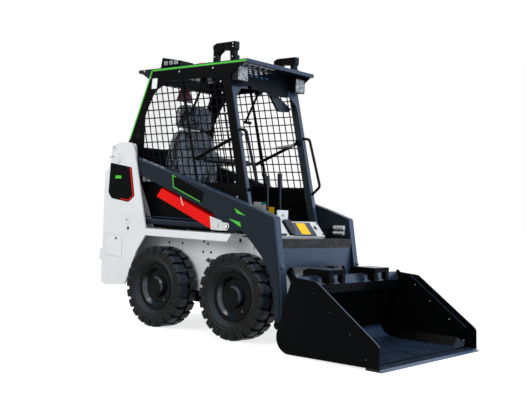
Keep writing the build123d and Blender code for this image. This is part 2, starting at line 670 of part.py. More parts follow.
def arm_outline():
    """The side outline of one lift arm, corners of (x, z, radius)."""
    px, pz = ARM_PIVOT
    ex, ez = LIFT_EYE
    qx, qz = BUCKET_PIVOT
    return [
        (px - 60, pz + 66, 46), (200, 899, 60), (390, 838, 22), (413, 712, 60), (453, 499, 60),
        (480, 330, 60), (484, 240, 40), (qx + 32, qz + 20, 30), (qx, qz - 44, 26),
        (qx - 36, qz + 30, 30), (400, 360, 60), (368, 450, 60), (301, 564, 60), (206, 655, 60),
        (112, 735, 30), (ex + 34, ez - 40, 20), (ex - 40, ez - 30, 26), (-174, 849, 40), (px - 52, pz - 41, 46)]


def build_arms():
    outline = arm_outline()
    solid = plate(outline, ARM_IN_Y, ARM_OUT_Y)
    solid = fillet(solid.faces().sort_by(Axis.Y)[-1].edges(), ARM_EDGE_R)
    knuckle_corner = plate([
        (-156, 40), (-156, 908, 34), (-110, 936, 20), (10, 940), (10, 1000), (600, 1000), (600, 40)],
        ARM_OUT_Y, ARM_OUT_Y + KNUCKLE_PLATE)
    inset_face = offset(rounded_face(outline, ARM_OUT_Y), amount=-ARM_EDGE_R - 2)
    knuckle = extrude(inset_face, amount=KNUCKLE_PLATE, dir=(0, 1, 0)) & knuckle_corner
    core_face = offset(rounded_face(outline, ARM_IN_Y + ARM_PLATE), amount=-ARM_PLATE)
    core = extrude(core_face, amount=ARM_OUT_Y - ARM_IN_Y - 2 * ARM_PLATE, dir=(0, 1, 0))
    slot_in = ARM_IN_Y + ARM_PLATE
    slot_out = ARM_OUT_Y - ARM_PLATE
    ex, ez = LIFT_EYE
    slot = plate([(ex - 130, ez + 84), (ex + 125, ez - 2), (ex + 125, ez - 80), (ex - 130, ez - 80)],
                 slot_in, slot_out)
    arm = solid - core - slot + knuckle
    arm += drum(ARM_PIVOT, ARM_IN_Y, ARM_OUT_Y, ARM_PIN_R + 14)
    arm -= drum(ARM_PIVOT, ARM_IN_Y - 1, ARM_OUT_Y + 1, ARM_PIN_R + PIN_GAP)
    arm += drum(BUCKET_PIVOT, ARM_IN_Y, ARM_OUT_Y, HITCH_PIN_R + 9)
    arm -= drum(BUCKET_PIVOT, ARM_IN_Y - 1, ARM_OUT_Y + KNUCKLE_PLATE + 1, HITCH_PIN_R + PIN_GAP)
    arm += drum(LIFT_EYE, ARM_OUT_Y - 1, ARM_OUT_Y + KNUCKLE_PLATE + 9, LIFT_BOSS_R)
    nodes["arm_left"] = arm
    nodes["arm_right"] = mirrored(arm)

    half = ARM_IN_Y
    leg = half - CROSS_LEG_W
    arch = leg - 24
    front = FilletPolyline(
        *[(CROSS_X - CROSS_PLATE, y, z) for y, z in (
            (-half, CROSS_LEG_Z), (-half, CROSS_TOP_Z), (half, CROSS_TOP_Z), (half, CROSS_LEG_Z),
            (leg, CROSS_LEG_Z), (arch, CROSS_LOW_Z), (-arch, CROSS_LOW_Z), (-leg, CROSS_LEG_Z))],
        radius=[0, 22, 22, 0, 0, CROSS_ARCH_R, CROSS_ARCH_R, 0], close=True)
    cross = extrude(make_face(front), amount=CROSS_PLATE, dir=(1, 0, 0))
    cross += block((330, CROSS_X - CROSS_PLATE), (24 - half, half - 24), (CROSS_TOP_Z - 8, CROSS_TOP_Z))
    for side in BOTH_SIDES:
        ends = sorted((side * (half - 44), side * (half - 30)))
        cross += block((340, CROSS_X - CROSS_PLATE), ends, (CROSS_LOW_Z + 20, CROSS_TOP_Z - 4))
    ux, uz = TILT_BASE
    ear_face = [(CROSS_X - CROSS_PLATE, 688), (CROSS_X - CROSS_PLATE, 560), (ux + 30, uz - 30, 10),
                (ux - 24, uz - 26, 22), (ux - 24, uz + 26, 22), (340, 688)]
    gap = TILT_TUBE_R + EYE_GAP
    for side in BOTH_SIDES:
        for y in (TILT_Y - gap - TILT_EAR, TILT_Y + gap):
            cross += on_side(plate(ear_face, y, y + TILT_EAR), side)
        pin = drum(TILT_BASE, TILT_Y - gap - TILT_EAR, TILT_Y + gap + TILT_EAR, TILT_PIN_R)
        cross += on_side(pin, side)
    nodes["cross_member"] = cross

    strip = FilletPolyline(
        *[(CROSS_X + RUN_GAP, y, z) for y, z in (
            (8 - half, GRIP_LOW_Z), (8 - half, CROSS_TOP_Z), (half - 8, CROSS_TOP_Z), (half - 8, GRIP_LOW_Z))],
        radius=[0, 20, 20, 0], close=True)
    nodes["grip_strip"] = extrude(make_face(strip), amount=4, dir=(1, 0, 0))

    brace = plate([(-676, 1005), (-725, 946), (-148, 727), (-163, 816)],
                  -ARM_OUT_Y - KNUCKLE_PLATE, -ARM_IN_Y - 1)
    brace -= plate([(-760, 950), (-740, 900), (-130, 680), (-130, 786), (-680, 985)],
                   -ARM_OUT_Y - KNUCKLE_PLATE + BRACE_WALL, -ARM_IN_Y - 1 - BRACE_WALL)
    nodes["arm_brace"] = brace
    link_y = -ARM_OUT_Y - KNUCKLE_PLATE - RUN_GAP
    link = plate([(-174, 822), (-158, 730), (-64, 728, 8), (ex + 8, ez - 24, 16), (ex + 27, ez, 16),
                  (ex + 20, ez + 24, 12), (-57, 786), (-57, 794, 5)], link_y - 6, link_y)
    link -= drum(LIFT_EYE, link_y - 7, link_y + 1, LIFT_BOSS_R + RUN_GAP)
    link += drum((-105, 761), link_y - 10, link_y - 6, 13)
    nodes["brace_bracket"] = link

    couplers = []
    for z in (735, 772):
        couplers.append(Pos(330, ARM_IN_Y - 30.3, z) * Rot(0, 90, 0) * Cylinder(16, 90))
        couplers[-1] += block((290, 320), (ARM_IN_Y - 34, ARM_IN_Y - RUN_GAP), (z - 6, z + 6))
    nodes["couplers"] = couplers


# Cylinders


def cylinder_tube(base, eye, y, tube_r, rod_r, length, pin_r):
    """A cylinder tube from its base eye towards the rod's eye, in the XZ plane at y."""
    start = along(base, eye, pin_r + 8)
    end = along(base, eye, length)
    tube = bar((start[0], y, start[1]), (end[0], y, end[1]), tube_r)
    eye_part = drum(base, y - tube_r + 2, y + tube_r - 2, pin_r + 12)
    hollow_start = along(base, eye, pin_r + 30)
    hollow_end = along(base, eye, length - GLAND)
    past_end = along(base, eye, length + 5)
    tube -= bar((hollow_start[0], y, hollow_start[1]), (hollow_end[0], y, hollow_end[1]),
                tube_r - CYLINDER_WALL)
    tube -= bar((hollow_start[0], y, hollow_start[1]), (past_end[0], y, past_end[1]), rod_r + PIN_GAP)
    return tube + eye_part - drum(base, y - tube_r - 1, y + tube_r + 1, pin_r + PIN_GAP)


def cylinder_rod(base, eye, y, tube_r, rod_r, pin_r, retract):
    """A rod with its piston and its eye, with room behind it to go in by retract."""
    start = along(base, eye, pin_r + 36 + retract)
    piston_end = along(base, eye, pin_r + 36 + retract + PISTON)
    rod = bar((start[0], y, start[1]), (eye[0], y, eye[1]), rod_r)
    rod += bar((start[0], y, start[1]), (piston_end[0], y, piston_end[1]),
               tube_r - CYLINDER_WALL - PIN_GAP)
    return rod + drum(eye, y - tube_r + 3, y + tube_r - 3, pin_r + 10)


def build_cylinders():
    arm_mid = (ARM_IN_Y + ARM_OUT_Y) / 2
    # name, base pin, rod pin, y, tube radius, rod radius, tube length, pin radius, how far it goes in from rest
    kinds = (
        ("lift", LIFT_BASE, LIFT_EYE, arm_mid, LIFT_TUBE_R, LIFT_ROD_R, LIFT_TUBE_LENGTH, LIFT_PIN_R, 0),
        ("tilt", TILT_BASE, TILT_EYE, TILT_Y, TILT_TUBE_R, TILT_ROD_R, TILT_TUBE_LENGTH, TILT_PIN_R,
         TILT_RETRACT))
    for name, base, eye, y, tube_r, rod_r, length, pin_r, retract in kinds:
        tube = cylinder_tube(base, eye, y, tube_r, rod_r, length, pin_r)
        rod = cylinder_rod(base, eye, y, tube_r, rod_r, pin_r, retract)
        nodes[f"{name}_barrels"] = [tube, mirrored(tube)]
        nodes[f"{name}_rods"] = [rod, mirrored(rod)]


# Bucket


def build_bucket():
    inner = BUCKET_HALF_W - 2 * SIDE_PLATE
    foot_x = bucket_back_x(EDGE_LOW_Z + 6)
    t = BUCKET_PLATE
    top_x = bucket_back_x(BACK_TOP_Z)
    floor_low = EDGE_LOW_Z + EDGE_THICK + RUN_GAP
    shell = plate([
        (EDGE_BACK_X + 14, floor_low), (foot_x, 8, HEEL_R), (top_x, BACK_TOP_Z),
        (top_x + t * 1.04, BACK_TOP_Z), (foot_x + t * 1.34, 8 + t, HEEL_R - t),
        (EDGE_BACK_X + 14, floor_low + t)], -inner, inner)
    beam = plate([
        (top_x, CHANNEL_LOW_Z), (top_x, CHANNEL_TOP_Z), (CHANNEL_X - CHANNEL_LEAN, CHANNEL_TOP_Z),
        (CHANNEL_X, CHANNEL_LOW_Z), (CHANNEL_X, LIP_BAND_Z), (CHANNEL_X - 6, LIP_BAND_Z),
        (CHANNEL_X - 6, CHANNEL_LOW_Z)], -inner, inner)
    beam -= plate([(top_x + 6, CHANNEL_LOW_Z + 6), (top_x + 6, CHANNEL_TOP_Z - 6),
                   (CHANNEL_X - CHANNEL_LEAN - 7, CHANNEL_TOP_Z - 6), (CHANNEL_X - 8, CHANNEL_LOW_Z + 6)],
                  -inner - 1, inner + 1)
    shell += beam
    for side in BOTH_SIDES:
        ends = []
        for x, size in ((750, GUSSET_H), (1180, GUSSET_H), (EDGE_BACK_X + 10, 20)):
            corners = [(side * inner, 18), (side * inner, 24 + size), (side * (inner - size), 24),
                       (side * (inner - size), 18)]
            ends.append(make_face(Polyline(*[(x, y, z) for y, z in corners], close=True)))
        shell += loft([ends[0], ends[1]], ruled=True) + loft([ends[1], ends[2]], ruled=True)
    nodes["bucket_shell"] = shell

    outline = [
        (684, 502, 10), (711, 479, 12), (858, 468, 40), (1294, 157, 20), (1309, 140, 6),
        (1315, 16), (foot_x, 8, HEEL_R), (bucket_back_x(440), 440)]
    set_back = [
        (684, 470), (800, 464), (1240, 148), (1240, 17), (foot_x, 8, HEEL_R),
        (bucket_back_x(440), 440)]
    sides = []
    for side in BOTH_SIDES:
        both = plate(outline, BUCKET_HALF_W - SIDE_PLATE, BUCKET_HALF_W)
        both += plate(set_back, inner + RUN_GAP, BUCKET_HALF_W - SIDE_PLATE)
        for place in ((1180, 60), (1225, 62), (1130, 70), (960, 300), (1110, 190), (840, 400)):
            both -= drum(place, inner, BUCKET_HALF_W + 1, 5)
        sides.append(on_side(both, side))
    nodes["bucket_sides"] = sides

    edge = [(EDGE_BACK_X, EDGE_LOW_Z), (LIP_X, EDGE_LOW_Z), (LIP_X, EDGE_LOW_Z + 3),
            (LIP_X - 22, EDGE_LOW_Z + EDGE_THICK), (EDGE_BACK_X, EDGE_LOW_Z + EDGE_THICK)]
    nodes["cutting_edge"] = plate(edge, -BUCKET_HALF_W, BUCKET_HALF_W)

    brackets = []
    outer_y = BRACKET_IN_Y + BRACKET_W
    front_in_x = BRACKET_FRONT_X - 2 * BRACKET_PLATE
    rest_z = CHANNEL_TOP_Z + RUN_GAP
    cheek = [(BRACKET_REAR_X, 462), (BRACKET_REAR_X, 505, 12), (BRACKET_REAR_X + 40, BRACKET_TOP_Z),
             (front_in_x, BRACKET_TOP_Z), (front_in_x, BRACKET_LOW_Z), (CHANNEL_X + 8, BRACKET_LOW_Z + 8),
             (CHANNEL_X + 8, rest_z), (top_x - 8, rest_z), (top_x - 20, 462)]
    top_edge = BRACKET_TOP_Z - BRACKET_PLATE
    for side in BOTH_SIDES:
        bracket = plate(cheek, BRACKET_IN_Y, BRACKET_IN_Y + BRACKET_PLATE)
        bracket += plate(cheek, outer_y - BRACKET_PLATE, outer_y)
        bracket += block((BRACKET_REAR_X + 40, front_in_x), (BRACKET_IN_Y, outer_y), (top_edge, BRACKET_TOP_Z))
        front = block((front_in_x, BRACKET_FRONT_X), (BRACKET_IN_Y, outer_y), (BRACKET_LOW_Z, BRACKET_TOP_Z))
        front -= block((front_in_x - 1, BRACKET_FRONT_X + 1),
                       (BRACKET_IN_Y + BRACKET_LEG_W, outer_y - BRACKET_LEG_W),
                       (BRACKET_LOW_Z - 1, BRACKET_TOP_Z - 30))
        brackets.append(on_side(bracket + front, side))
    nodes["bucket_brackets"] = brackets


def build_hitch():
    low_z = 150
    top_z = 424
    t = 12
    hitch = plate([
        (bucket_back_x(low_z, -1), low_z), (bucket_back_x(top_z, -1), top_z),
        (bucket_back_x(top_z, -1 - t), top_z), (bucket_back_x(low_z, -1 - t), low_z)], -370, 370)
    qx, qz = BUCKET_PIVOT
    tx, tz = TILT_EYE
    lug = [(bucket_back_x(low_z, -6), low_z), (bucket_back_x(290, -6), 290), (qx - 10, qz + 34, 30),
           (qx - 34, qz, 30), (qx, qz - 34, 28)]
    ear = [(bucket_back_x(210, -6), 210), (bucket_back_x(350, -6), 350), (tx - 8, tz + 22, 16),
           (tx - 23, tz, 18), (tx - 6, tz - 23, 16)]
    gap = TILT_TUBE_R + EYE_GAP
    for side in BOTH_SIDES:
        pieces = [plate(lug, ARM_IN_Y - 40, ARM_IN_Y - 20)]
        pieces.append(drum(BUCKET_PIVOT, ARM_IN_Y - 44, ARM_OUT_Y + 4, HITCH_PIN_R))
        pieces.append(drum(BUCKET_PIVOT, ARM_IN_Y - 40, ARM_IN_Y - 5, HITCH_PIN_R + 12))
        for y in (TILT_Y - gap - TILT_EAR, TILT_Y + gap):
            pieces.append(plate(ear, y, y + TILT_EAR))
        for piece in pieces:
            hitch += on_side(piece, side)
    nodes["quick_hitch"] = hitch

    levers = []
    for side in BOTH_SIDES:
        z = top_z + RUN_GAP
        lever = block((bucket_back_x(top_z, -13), bucket_back_x(top_z, -1)), (280, 330), (z, z + 14))
        lever += bar((bucket_back_x(top_z, -8), 305, z + 8), (530, 330, 484), 7)
        levers.append(on_side(lever, side))
    nodes["hitch_levers"] = levers


def export_all():
    os.makedirs("parts", exist_ok=True)
    for name, shape in nodes.items():
        pieces = shape if isinstance(shape, list) else [shape]
        solids = [solid for piece in pieces for solid in piece.solids()]
        body = solids[0] if len(solids) == 1 else Compound(children=solids)
        export_step(body, f"parts/{name}.step")


build_wheels()
build_chassis()
build_fenders()
build_towers()
build_rear()
build_front()
build_cab()
build_arms()
build_cylinders()
build_bucket()
build_hitch()
export_all()
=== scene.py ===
"""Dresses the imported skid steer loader: paint, tyre treads, seat, lamps, pipes, fasteners and trim.

Everything is in metres in the frame of the part: +X forward, +Y to the operator's left, +Z up,
with the ground at z = 0. A side view is given as (x, z) points, a front view as (y, z) points,
and a turned shape as (radius, height) points along its axis.
"""
import json
import math

import bmesh
import bpy
from mathutils import Matrix, Vector, noise


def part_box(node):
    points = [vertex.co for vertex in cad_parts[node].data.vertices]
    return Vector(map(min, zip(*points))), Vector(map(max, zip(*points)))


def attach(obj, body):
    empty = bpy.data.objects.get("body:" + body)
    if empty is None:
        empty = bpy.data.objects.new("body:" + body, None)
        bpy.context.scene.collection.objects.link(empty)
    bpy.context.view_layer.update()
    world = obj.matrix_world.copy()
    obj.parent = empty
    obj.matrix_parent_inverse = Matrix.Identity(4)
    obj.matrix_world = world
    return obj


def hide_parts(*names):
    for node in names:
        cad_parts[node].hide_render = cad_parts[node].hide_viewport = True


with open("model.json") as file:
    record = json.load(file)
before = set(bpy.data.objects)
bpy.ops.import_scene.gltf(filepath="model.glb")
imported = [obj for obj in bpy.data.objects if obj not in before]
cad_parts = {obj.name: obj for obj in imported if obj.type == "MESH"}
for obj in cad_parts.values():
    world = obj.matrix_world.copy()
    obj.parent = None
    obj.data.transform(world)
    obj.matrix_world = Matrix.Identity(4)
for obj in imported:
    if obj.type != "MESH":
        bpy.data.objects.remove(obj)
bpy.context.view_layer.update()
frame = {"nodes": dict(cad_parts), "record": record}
nodes = frame["nodes"]
body_of_node = {name: body for body, members in frame["record"]["behaviour"]["bodies"].items()
                for name in members}
bpy.context.scene.view_settings.view_transform = "Standard"

# Camera, as solved from the photograph: metres, degrees and millimetres
CAMERA_PLACE = Vector((3.797, -4.554, 0.885))
CAMERA_YAW = 130.513
CAMERA_PITCH = 0.447
CAMERA_ROLL = 2.375
CAMERA_LENS = 56.86
CAMERA_SENSOR = 36

# Planes that trim sits on
TOWER_FACE = 0.472
ARM_FACE = 0.452
KNUCKLE_FACE = 0.456
ARM_INNER = 0.390
CAB_FACE = 0.378
CAB_INNER = 0.3718
FRAME_FACE = 0.305
FENDER_TOP = 0.708
ROOF_TOP = 1.902

# Edges that trim follows: a point on each, and how far it leans back for each metre up
CAB_BACK_X, CAB_BACK_Z, CAB_BACK_LEAN = -0.923, 1.892, 0.4379
POST_X, POST_Z, POST_LEAN = 0.097, 0.927, 0.2513

SIDES = {"right": -1, "left": 1}
FORE, AFT, UP = (1, 0, 0), (-1, 0, 0), (0, 0, 1)
TURN = 2 * math.pi
SHARP_ANGLE = math.radians(38)


def make_camera():
    yaw, pitch, roll = (math.radians(a) for a in (CAMERA_YAW, CAMERA_PITCH, CAMERA_ROLL))
    forward = Vector((math.cos(pitch) * math.cos(yaw), math.cos(pitch) * math.sin(yaw), math.sin(pitch)))
    level_right = Vector((math.sin(yaw), -math.cos(yaw), 0))
    level_up = level_right.cross(forward)
    right = math.cos(roll) * level_right + math.sin(roll) * level_up
    up = math.cos(roll) * level_up - math.sin(roll) * level_right
    turn = Matrix((right, up, -forward)).transposed().to_4x4()
    data = bpy.data.cameras.new("camera")
    data.sensor_width = CAMERA_SENSOR
    data.lens = CAMERA_LENS
    data.clip_end = 100
    camera = bpy.data.objects.new("camera", data)
    camera.matrix_world = Matrix.Translation(CAMERA_PLACE) @ turn
    bpy.context.scene.collection.objects.link(camera)
    bpy.context.scene.camera = camera


# Materials

WHITE = (0.72, 0.735, 0.74)
ARM_GREY = (0.0115, 0.0175, 0.0255)
POST_GREY = (0.022, 0.029, 0.037)
BLACK = (0.0022, 0.0024, 0.0027)
# painted reflection: the cool sky colour mixed into faces turned to the light
PAINTED_SKY_SHEEN = (0.055, 0.105, 0.2)
PAINT_DUST = (0.3, 0.28, 0.25)
RUBBER_DUST = (0.2, 0.18, 0.15)
DUST_LOW, DUST_TOP = 0.03, 0.6

# Where faces get the painted sky sheen and their extra gloss: a direction, and the cosines at which it starts
# and is full
FORWARD = ((0.95, 0.0, 0.31), 0.2, 0.85)
UP_FORWARD = ((0.6, 0.0, 0.8), 0.7, 0.97)
SKYWARD = ((0.72, 0.0, 0.69), 0.15, 0.9)
UPWARD = ((0.0, 0.0, 1.0), 0.3, 0.8)

# Scales of a pattern along x, y and z: the lower one is, the longer the pattern runs that way
FOLD_STRETCH = (1.0, 1.5, 0.6)
CREASE_STRETCH = (1.0, 1.6, 0.6)
LENS_STRETCH = (1.0, 9.0, 0.4)

mats = {}


def put(tree, socket, value):
    """Sets a socket to a value, or links it to another node's output."""
    if isinstance(value, bpy.types.NodeSocket):
        tree.links.new(value, socket)
    elif socket.type == "RGBA":
        socket.default_value = (*value, 1)
    else:
        socket.default_value = value


def add_node(tree, kind, inputs, **settings):
    """Adds a shader node with its settings and inputs, and returns its outputs."""
    node = tree.nodes.new("ShaderNode" + kind)
    for name, value in settings.items():
        setattr(node, name, value)
    for key, value in inputs.items():
        put(tree, node.inputs[key], value)
    return node.outputs


class Surface:
    """A node material, built up from left to right into one Principled shader."""

    def __init__(self, name):
        self.material = bpy.data.materials.new(name)
        self.material.use_nodes = True
        self.tree = self.material.node_tree
        self.tree.nodes.clear()
        self.output = self.tree.nodes.new("ShaderNodeOutputMaterial")
        self.shader = self.tree.nodes.new("ShaderNodeBsdfPrincipled")
        self.tree.links.new(self.shader.outputs[0], self.output.inputs[0])
        self.place = self.node("TexCoord", {})["Object"]
        mats[name] = self.material

    def node(self, kind, inputs, **settings):
        return add_node(self.tree, kind, inputs, **settings)

    def set(self, **values):
        for name, value in values.items():
            put(self.tree, self.shader.inputs[name.replace("_", " ")], value)

    def noise(self, scale, detail=3.0, roughness=0.6, stretch=None):
        where = self.node("Mapping", {"Vector": self.place, "Scale": stretch})[0] if stretch else self.place
        given = {"Vector": where, "Scale": scale, "Detail": detail, "Roughness": roughness}
        return self.node("TexNoise", given)["Fac"]

    def cells(self, scale, feature="F1"):
        return self.node("TexVoronoi", {"Vector": self.place, "Scale": scale}, feature=feature)["Distance"]

    def height(self):
        """How high a point lies above the ground."""
        return self.node("SeparateXYZ", {0: self.place})["Z"]

    def turned_to(self, direction, low, high):
        """1 where a face looks along a direction of the world, 0 where it looks elsewhere."""
        normal = self.node("NewGeometry", {})["Normal"]
        facing = self.node("VectorMath", {0: normal, 1: direction}, operation="DOT_PRODUCT")["Value"]
        return self.span(facing, low, high)

    def span(self, value, low, high, to_low=0.0, to_high=1.0):
        """Maps a range of a value to another, held at its ends."""
        return self.node("MapRange", dict(enumerate((value, low, high, to_low, to_high))))[0]

    def combine(self, kind, a, b):
        return self.node("Math", {0: a, 1: b}, operation=kind)[0]

    def product(self, a, b):
        return self.combine("MULTIPLY", a, b)

    def mix(self, share, a, b):
        return self.node("Mix", {"Factor": share, 6: a, 7: b}, data_type="RGBA")[2]

    def bump(self, value, strength, distance):
        given = {"Strength": strength, "Distance": distance, "Height": value}
        self.set(Normal=self.node("Bump", given)[0])

    def uneven(self, scale, detail, low, high):
        """A value that drifts between two ends over the surface."""
        return self.span(self.noise(scale, detail), 0.3, 0.7, low, high)

    def mottled(self, scale, detail, colour, dark, pale, low=0.35, high=0.65):
        """A colour that drifts between a darker and a paler one."""
        share = self.span(self.noise(scale, detail), low, high)
        return self.mix(share, tint(colour, dark), tint(colour, pale))


def tint(colour, factor):
    return tuple(min(1.0, c * factor) for c in colour)


def paint(name, colour, rough=(0.4, 0.5), dust=0.0, gloss=0.2, lit_gloss=0.0, sheen=0.0,
          lit=FORWARD, top_light=0.0, peel=0.03):
    """Sprayed paint on steel: faint orange peel, slightly uneven gloss and a little dust low down.

    Faces turned to the bright sky can have a gloss of their own and a cool painted sheen: the sky colour
    mixed into their colour, a painted reflection of the light.
    """
    s = Surface(name)
    base = s.mottled(2.5, 4, colour, 0.965, 1.03)
    shine = gloss
    if lit_gloss:
        bright = s.turned_to(*lit)
        if top_light:
            bright = s.combine("MAXIMUM", bright, s.product(s.turned_to(*UPWARD), top_light))
        # painted sky sheen: faces turned to the light lean towards the sky colour, a painted reflection
        base = s.mix(s.product(bright, sheen), base, PAINTED_SKY_SHEEN)
        shine = s.span(bright, 0.0, 1.0, gloss, lit_gloss)
    low_down = s.span(s.height(), DUST_LOW, DUST_TOP, 1.0, 0.0)
    specks = s.span(s.noise(24, 6, 0.75), 0.5, 0.75)
    share = s.product(s.product(low_down, specks), dust)
    s.set(Base_Color=s.mix(share, base, PAINT_DUST), Roughness=s.uneven(9, 4, *rough),
          Specular_IOR_Level=shine)
    s.bump(s.noise(320, 2), peel, 0.0003)


def steel(name, colour, rough, scale):
    """Bare or plated steel with cloudy gloss."""
    s = Surface(name)
    s.set(Base_Color=s.mix(s.span(s.noise(scale, 4, 0.65), 0.35, 0.65), tint(colour, 0.82), colour),
          Metallic=1.0, Roughness=s.uneven(scale * 2.5, 3, *rough))
    s.bump(s.noise(scale * 6, 2), 0.05, 0.0005)


def rubber(name, colour, dust, grain, lit_gloss, sheen):
    """Moulded rubber or plastic, with a painted cool sheen and more gloss where it looks at the sky, so that
    it is darkest where it looks sideways.
    """
    s = Surface(name)
    base = s.mottled(14, 5, colour, 0.8, 1.25, 0.35, 0.7)
    bright = s.turned_to(*SKYWARD)
    # painted sky sheen on faces turned to the light
    base = s.mix(s.product(bright, sheen), base, PAINTED_SKY_SHEEN)
    specks = s.span(s.noise(40, 6, 0.8), 0.5, 0.8)
    s.set(Base_Color=s.mix(s.product(specks, dust), base, RUBBER_DUST),
          Roughness=s.uneven(30, 4, 0.36, 0.5),
          Specular_IOR_Level=s.span(bright, 0.0, 1.0, 0.1, lit_gloss))
    s.bump(s.noise(grain, 3), 0.12, 0.0008)


def clear(name, colour, rough, transmission, alpha=1.0):
    s = Surface(name)
    s.set(Base_Color=s.mix(s.span(s.noise(20), 0.3, 0.7), tint(colour, 0.93), colour),
          Roughness=rough, Transmission_Weight=transmission, Alpha=alpha)
    s.bump(s.noise(160, 2), 0.05, 0.0005)


def gritty(name, grit_pale, grit_dark, worn_colour):
    """Anti-slip strip: coarse dark grit worn paler in patches."""
    s = Surface(name)
    grit = s.cells(420)
    worn = s.span(s.noise(26, 5, 0.7), 0.45, 0.7)
    base = s.mix(s.span(grit, 0.15, 0.7), grit_pale, grit_dark)
    s.set(Base_Color=s.mix(s.product(worn, 0.45), base, worn_colour), Roughness=0.85,
          Specular_IOR_Level=0.2)
    s.bump(grit, 0.5, 0.0012)


def leather(name, colour):
    """Grained upholstery with a soft sheen."""
    s = Surface(name)
    grain = s.cells(260, "DISTANCE_TO_EDGE")
    s.set(Base_Color=s.mottled(12, 4, colour, 0.8, 1.2, 0.3, 0.7),
          Roughness=s.uneven(40, 3, 0.42, 0.58), Specular_IOR_Level=0.35)
    s.bump(s.span(grain, 0.0, 0.12), 0.35, 0.0008)


def film(name, flat_colour, crease_glint_colour):
    """Thin clear wrapping over the seat: pale where it creases and folds, as painted glints on the wrinkles,
    and clear where it lies flat.
    """
    s = Surface(name)
    off_middle = s.combine("SUBTRACT", s.noise(5, 3, 0.5, CREASE_STRETCH), 0.5)
    ridge = s.span(s.combine("ABSOLUTE", off_middle, 0), 0.0, 0.03, 1.0, 0.0)
    patches = s.span(s.noise(4, 3, 0.55, FOLD_STRETCH), 0.46, 0.6)
    share = s.combine("MAXIMUM", ridge, s.product(patches, 0.8))
    # the pale crease colour is a painted glint on the film
    s.set(Base_Color=s.mix(share, flat_colour, crease_glint_colour),
          Roughness=s.span(share, 0, 1, 0.1, 0.32), Alpha=s.span(share, 0.0, 1.0, 0.5, 0.92),
          Specular_IOR_Level=0.4)
    s.bump(s.noise(6, 4, 0.6, FOLD_STRETCH), 0.8, 0.02)


def ribbed_lens(name, dark, pale):
    """A lamp's front: pale moulded plastic with upright ribs over mottled reflectors."""
    s = Surface(name)
    s.set(Base_Color=s.mix(s.span(s.noise(46, 4, 0.7), 0.4, 0.62), dark, pale), Roughness=0.3,
          Specular_IOR_Level=0.3)
    s.bump(s.noise(30, 2, 0.5, LENS_STRETCH), 0.4, 0.004)


paint("white_paint", WHITE, (0.3, 0.4), dust=0.12, gloss=0.3)
# the sheen shares below are painted reflections of the sky on faces turned to the light
paint("grey_paint", ARM_GREY, (0.26, 0.34), dust=0.03, gloss=0.06, lit_gloss=0.2, sheen=0.24, top_light=1.0)
paint("post_paint", POST_GREY, (0.28, 0.38), dust=0.03, gloss=0.1, lit_gloss=0.4, sheen=0.35, top_light=0.5)
paint("black_paint", BLACK, (0.34, 0.44), dust=0.01, gloss=0.025, lit_gloss=0.1, sheen=0.04)
# bucket and edge paint: faces turned up and forward get the painted sky sheen, nearly full on the cutting
# edge and header slots
paint("bucket_paint", BLACK, (0.16, 0.3), gloss=0.02, lit_gloss=0.6, sheen=0.6, lit=UP_FORWARD, peel=0.0)
paint("edge_paint", BLACK, (0.2, 0.3), lit_gloss=0.35, sheen=0.95, peel=0.0)
paint("red_paint", (0.75, 0.004, 0.002), (0.34, 0.42), gloss=0.1)
paint("green_paint", (0.07, 0.5, 0.035))
paint("yellow_paint", (0.95, 0.58, 0.01))
paint("label_white", (0.85, 0.86, 0.86))
paint("label_teal", (0.01, 0.3, 0.24))
paint("seam_grey", (0.34, 0.345, 0.35), gloss=0.1)
# wheel rims: painted sky highlights on faces turned up and forward
paint("wheel_paint", (0.0012, 0.0014, 0.0017), (0.12, 0.2), gloss=0.05, lit_gloss=1.0, sheen=0.2, lit=SKYWARD)
steel("zinc", (0.5, 0.52, 0.52), rough=(0.3, 0.48), scale=90)
steel("rod_chrome", (0.82, 0.83, 0.84), rough=(0.06, 0.14), scale=20)
steel("dark_steel", (0.07, 0.075, 0.08), rough=(0.3, 0.42), scale=90)
rubber("tyre_rubber", (0.0038, 0.0041, 0.0044), dust=0.012, grain=260, lit_gloss=0.35, sheen=0.13)
rubber("plastic_black", (0.003, 0.0033, 0.004), dust=0.01, grain=600, lit_gloss=0.3, sheen=0.1)
gritty("grip", (0.05, 0.05, 0.052), (0.014, 0.014, 0.015), (0.11, 0.105, 0.1))
leather("seat_cover", (0.006, 0.007, 0.009))
film("film", (0.016, 0.022, 0.03), (0.2, 0.25, 0.31))
film("head_film", (0.006, 0.008, 0.011), (0.1, 0.125, 0.15))
ribbed_lens("lamp_lens", (0.12, 0.125, 0.13), (0.5, 0.51, 0.52))
clear("amber_lens", (0.95, 0.2, 0.02), rough=0.1, transmission=0.3)
clear("red_lens", (0.22, 0.006, 0.006), rough=0.25, transmission=0.1)
clear("window_glass", (0.75, 0.8, 0.82), rough=0.04, transmission=0.9, alpha=0.12)

# Nodes whose material isn't the one that their slot names, and those with wider or no bevels
FINISHES = {
    "cab_posts": "post_paint", "front_step": "post_paint", "side_tubes": "black_paint",
    "cutting_edge": "edge_paint", "headlamps": "plastic_black", "lift_barrels": "grey_paint",
    "hitch_levers": "dark_steel",
}
EDGE = 0.002
WIDE_EDGES = {"arm_left": 0.006, "arm_right": 0.006}
PLAIN_EDGES = ("side_guard_left", "side_guard_right", "rear_window", "grab_handles", "lap_bar")


def dress_nodes():
    slots = {part["node"]: part["material_slot"] for part in frame["record"]["subparts"]}
    for name, node in nodes.items():
        node.data.materials.clear()
        node.data.materials.append(mats[FINISHES.get(name, slots[name])])
        if name not in PLAIN_EDGES:
            add_bevel(node, WIDE_EDGES.get(name, EDGE)).harden_normals = True


# Helpers that make pieces and meshes


